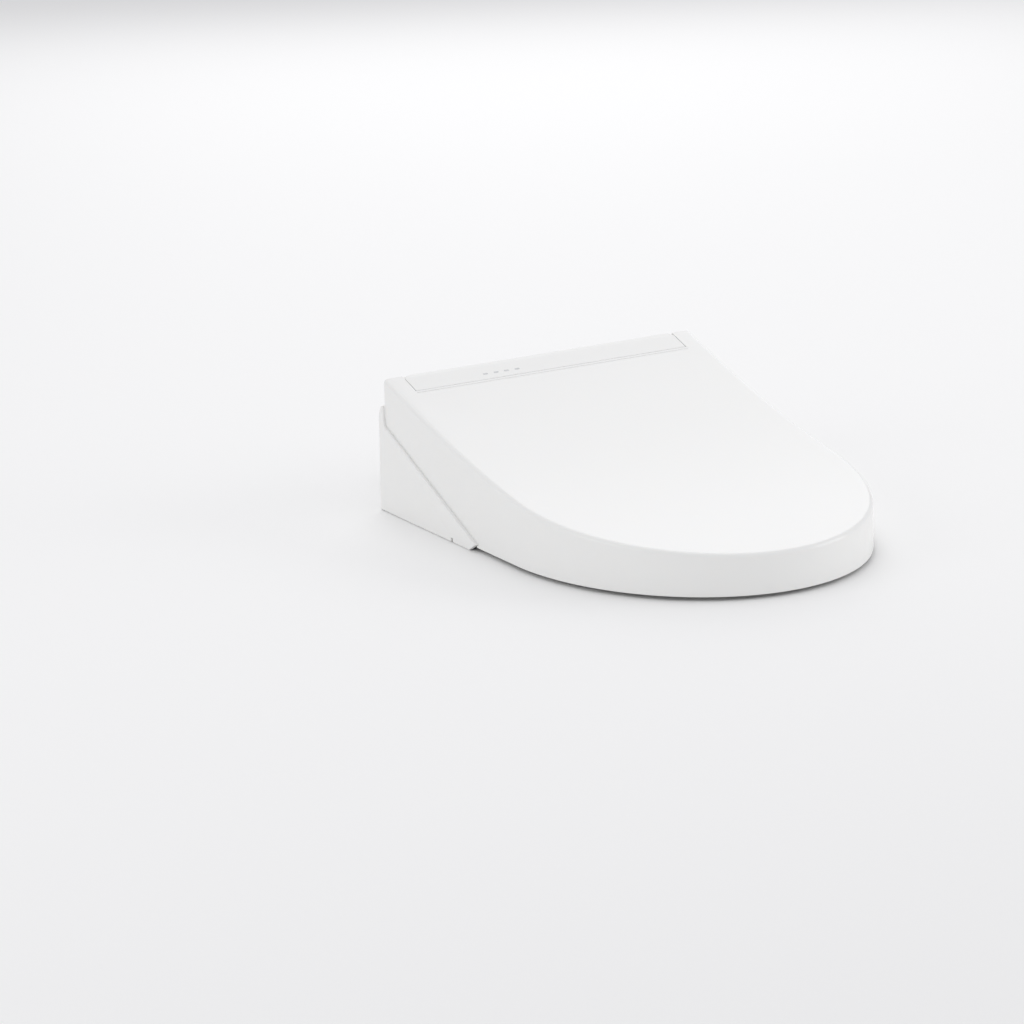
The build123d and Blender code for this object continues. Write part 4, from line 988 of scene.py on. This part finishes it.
@dataclass
class FrameNodes:
    """The frame's own nodes, dressed, and copied with rounded edges where an edge shows."""

    wardrobe: Wardrobe
    nodes: dict[str, bpy.types.Object]

    ROUNDED = (
        Softened("seat_top", Palette.SEAT, "seat", "seat_white", 0.8),
        Softened("seat_arms", Palette.SEAT, "seat", "seat_white", 1.2),
        Softened("seat_base", Palette.SEAT, "seat", "seat_white", 0.5),
        Softened("top_cover", Palette.CASE, "housing", "case_white", 1.0),
        Softened("base_case", Palette.CASE, "housing", "case_white", 0.8),
        Softened("dryer_flap", Palette.CASE, "dryer_flap", "case_white", 0.4),
        Softened("drain_cap", Palette.CASE, "drain_cap", "case_white", 0.4),
        Softened("release_button", Palette.SHELL, "release_button", "shell_white", 0.3),
        Softened("wand_tip", Palette.WAND, "wand", "wand_plastic", 0.2),
        Softened("mounting_plate", Palette.STEEL, "housing", "steel", 0.3),
    )

    FINISHES = {
        Palette.INNER: (
            "wand_guide", "diverter_valve", "diverter_rotor", "dryer_housing", "dryer_duct",
            "deodoriser_housing", "tank_lid", "water_tank", "dryer_rotor", "deodoriser_rotor",
        ),
        Palette.WAND: ("wand_tube",),
        Palette.GEAR: ("drive_pinion", "wand_rack", "plate_bushings"),
        Palette.RUBBER: ("lid_bumpers", "seat_feet", "mounting_pad", "base_feet"),
        Palette.STEEL: ("hinge_pins", "case_screws", "dryer_heater", "tank_heater"),
        Palette.DARK: (
            "lid_damper", "seat_damper", "wand_motor", "diverter_motor", "water_pump", "inlet_valve",
        ),
        Palette.BRASS: ("inlet_union", "plug_pins"),
        Palette.FOIL: ("seat_heater",),
        Palette.BOARD: ("control_board", "power_board", "display_board"),
        Palette.CARBON: ("carbon_filter",),
        Palette.TUBE: ("water_tubes",),
        Palette.CORD: ("cord_gland",),
        Palette.PLUG: ("plug_body",),
        Palette.CHROME: ("hose_nut",),
    }

    def build(self) -> None:
        """Copies the nodes that show and dresses every node that stays."""
        for rounded in self.ROUNDED:
            rounded.build(self.nodes, self.wardrobe)
        for finish, names in self.FINISHES.items():
            for name in names:
                self.wardrobe.dress(self.nodes[name], finish)


# Studio ------------------------------------------------------------------------------------------------
@dataclass
class Studio:
    """The floor, the lights and the camera."""

    camera_place: Vector = field(default_factory=lambda: Vector((-2.4214, -4.2324, 1.3347)))
    camera_target: Vector = field(default_factory=lambda: Vector((-0.2585, -0.3271, 0.0992)))
    camera_roll: float = -1.79
    camera_lens: float = 164.2

    def camera(self) -> bpy.types.Object:
        """Makes the scene's camera."""
        data = bpy.data.cameras.new("view")
        data.lens, data.sensor_width = self.camera_lens, 36.0
        data.clip_start, data.clip_end = 0.1, 100.0
        camera = bpy.data.objects.new("view", data)
        bpy.context.scene.collection.objects.link(camera)
        back = (self.camera_place - self.camera_target).normalized()
        level = Vector((0, 0, 1)).cross(back).normalized()
        over = back.cross(level)
        roll = math.radians(self.camera_roll)
        right = level * math.cos(roll) + over * math.sin(roll)
        up = over * math.cos(roll) - level * math.sin(roll)
        turn = Matrix((right, up, back)).transposed().to_4x4()
        camera.matrix_world = Matrix.Translation(self.camera_place) @ turn
        bpy.context.scene.camera = camera
        return camera

    def floor(self) -> bpy.types.Object:
        """Makes the pale floor."""
        bm = bmesh.new()
        bmesh.ops.create_grid(bm, x_segments=1, y_segments=1, size=20.0)
        floor = finish_piece("floor", bm)
        material = Finish("floor_paint_matt", "fbfbfa", 0.7, 1.45).make()
        floor.data.materials.append(material)
        return floor

    def lamp(self, name: str, place: Vector, aim: Vector, size: float, power: float) -> bpy.types.Object:
        """Hangs one square soft light.

        Args:
            name: its name.
            place: where it hangs, in metres.
            aim: what it points at.
            size: its side, in metres.
            power: its power in watts.

        Returns:
            The light.
        """
        data = bpy.data.lights.new(name, "AREA")
        data.size, data.energy = size, power
        lamp = bpy.data.objects.new(name, data)
        lamp.location = place
        lamp.rotation_euler = (aim - place).to_track_quat("-Z", "Y").to_euler()
        bpy.context.scene.collection.objects.link(lamp)
        return lamp

    def build(self) -> None:
        """Sets up floor, lights, sky and camera."""
        self.floor()
        aim = Vector((0, -0.15, 0.06))
        self.lamp("overhead", Vector((0.1, 0.6, 2.7)), aim, 2.2, 10.0)
        self.lamp("behind", Vector((1.35, 2.4, 1.5)), aim, 2.2, 12.5)
        self.lamp("left", Vector((-2.6, -0.2, 1.1)), aim, 1.8, 8.5)
        self.lamp("right", Vector((2.5, -1.6, 1.0)), aim, 1.6, 16.0)
        world = bpy.data.worlds.new("studio")
        world.use_nodes = True
        sky = world.node_tree.nodes["Background"]
        sky.inputs["Color"].default_value = linear("fcfcff")
        sky.inputs["Strength"].default_value = 0.7
        bpy.context.scene.world = world
        bpy.context.scene.view_settings.view_transform = "Standard"
        self.camera()


def main() -> None:
    """Builds the whole scene in order and reports each part."""
    logging.basicConfig(level=logging.INFO, format="%(name)s: %(message)s")
    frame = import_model()
    studio = Studio()
    studio.build()
    wardrobe = Wardrobe()
    nodes = frame["nodes"]
    cord = POWER_CORD.build(wardrobe)
    hose = SUPPLY_HOSE.build(wardrobe)
    LOG.info("cord and hose laid")
    for part in (Lid(wardrobe), TopPanel(wardrobe), SideCovers(wardrobe)):
        pieces = part.build()
        LOG.info("%s: %s", type(part).__name__, ", ".join(p.name for p in pieces))
    FrameNodes(wardrobe, nodes).build()
    LOG.info("frame nodes dressed")


if __name__ == "__main__":
    main()
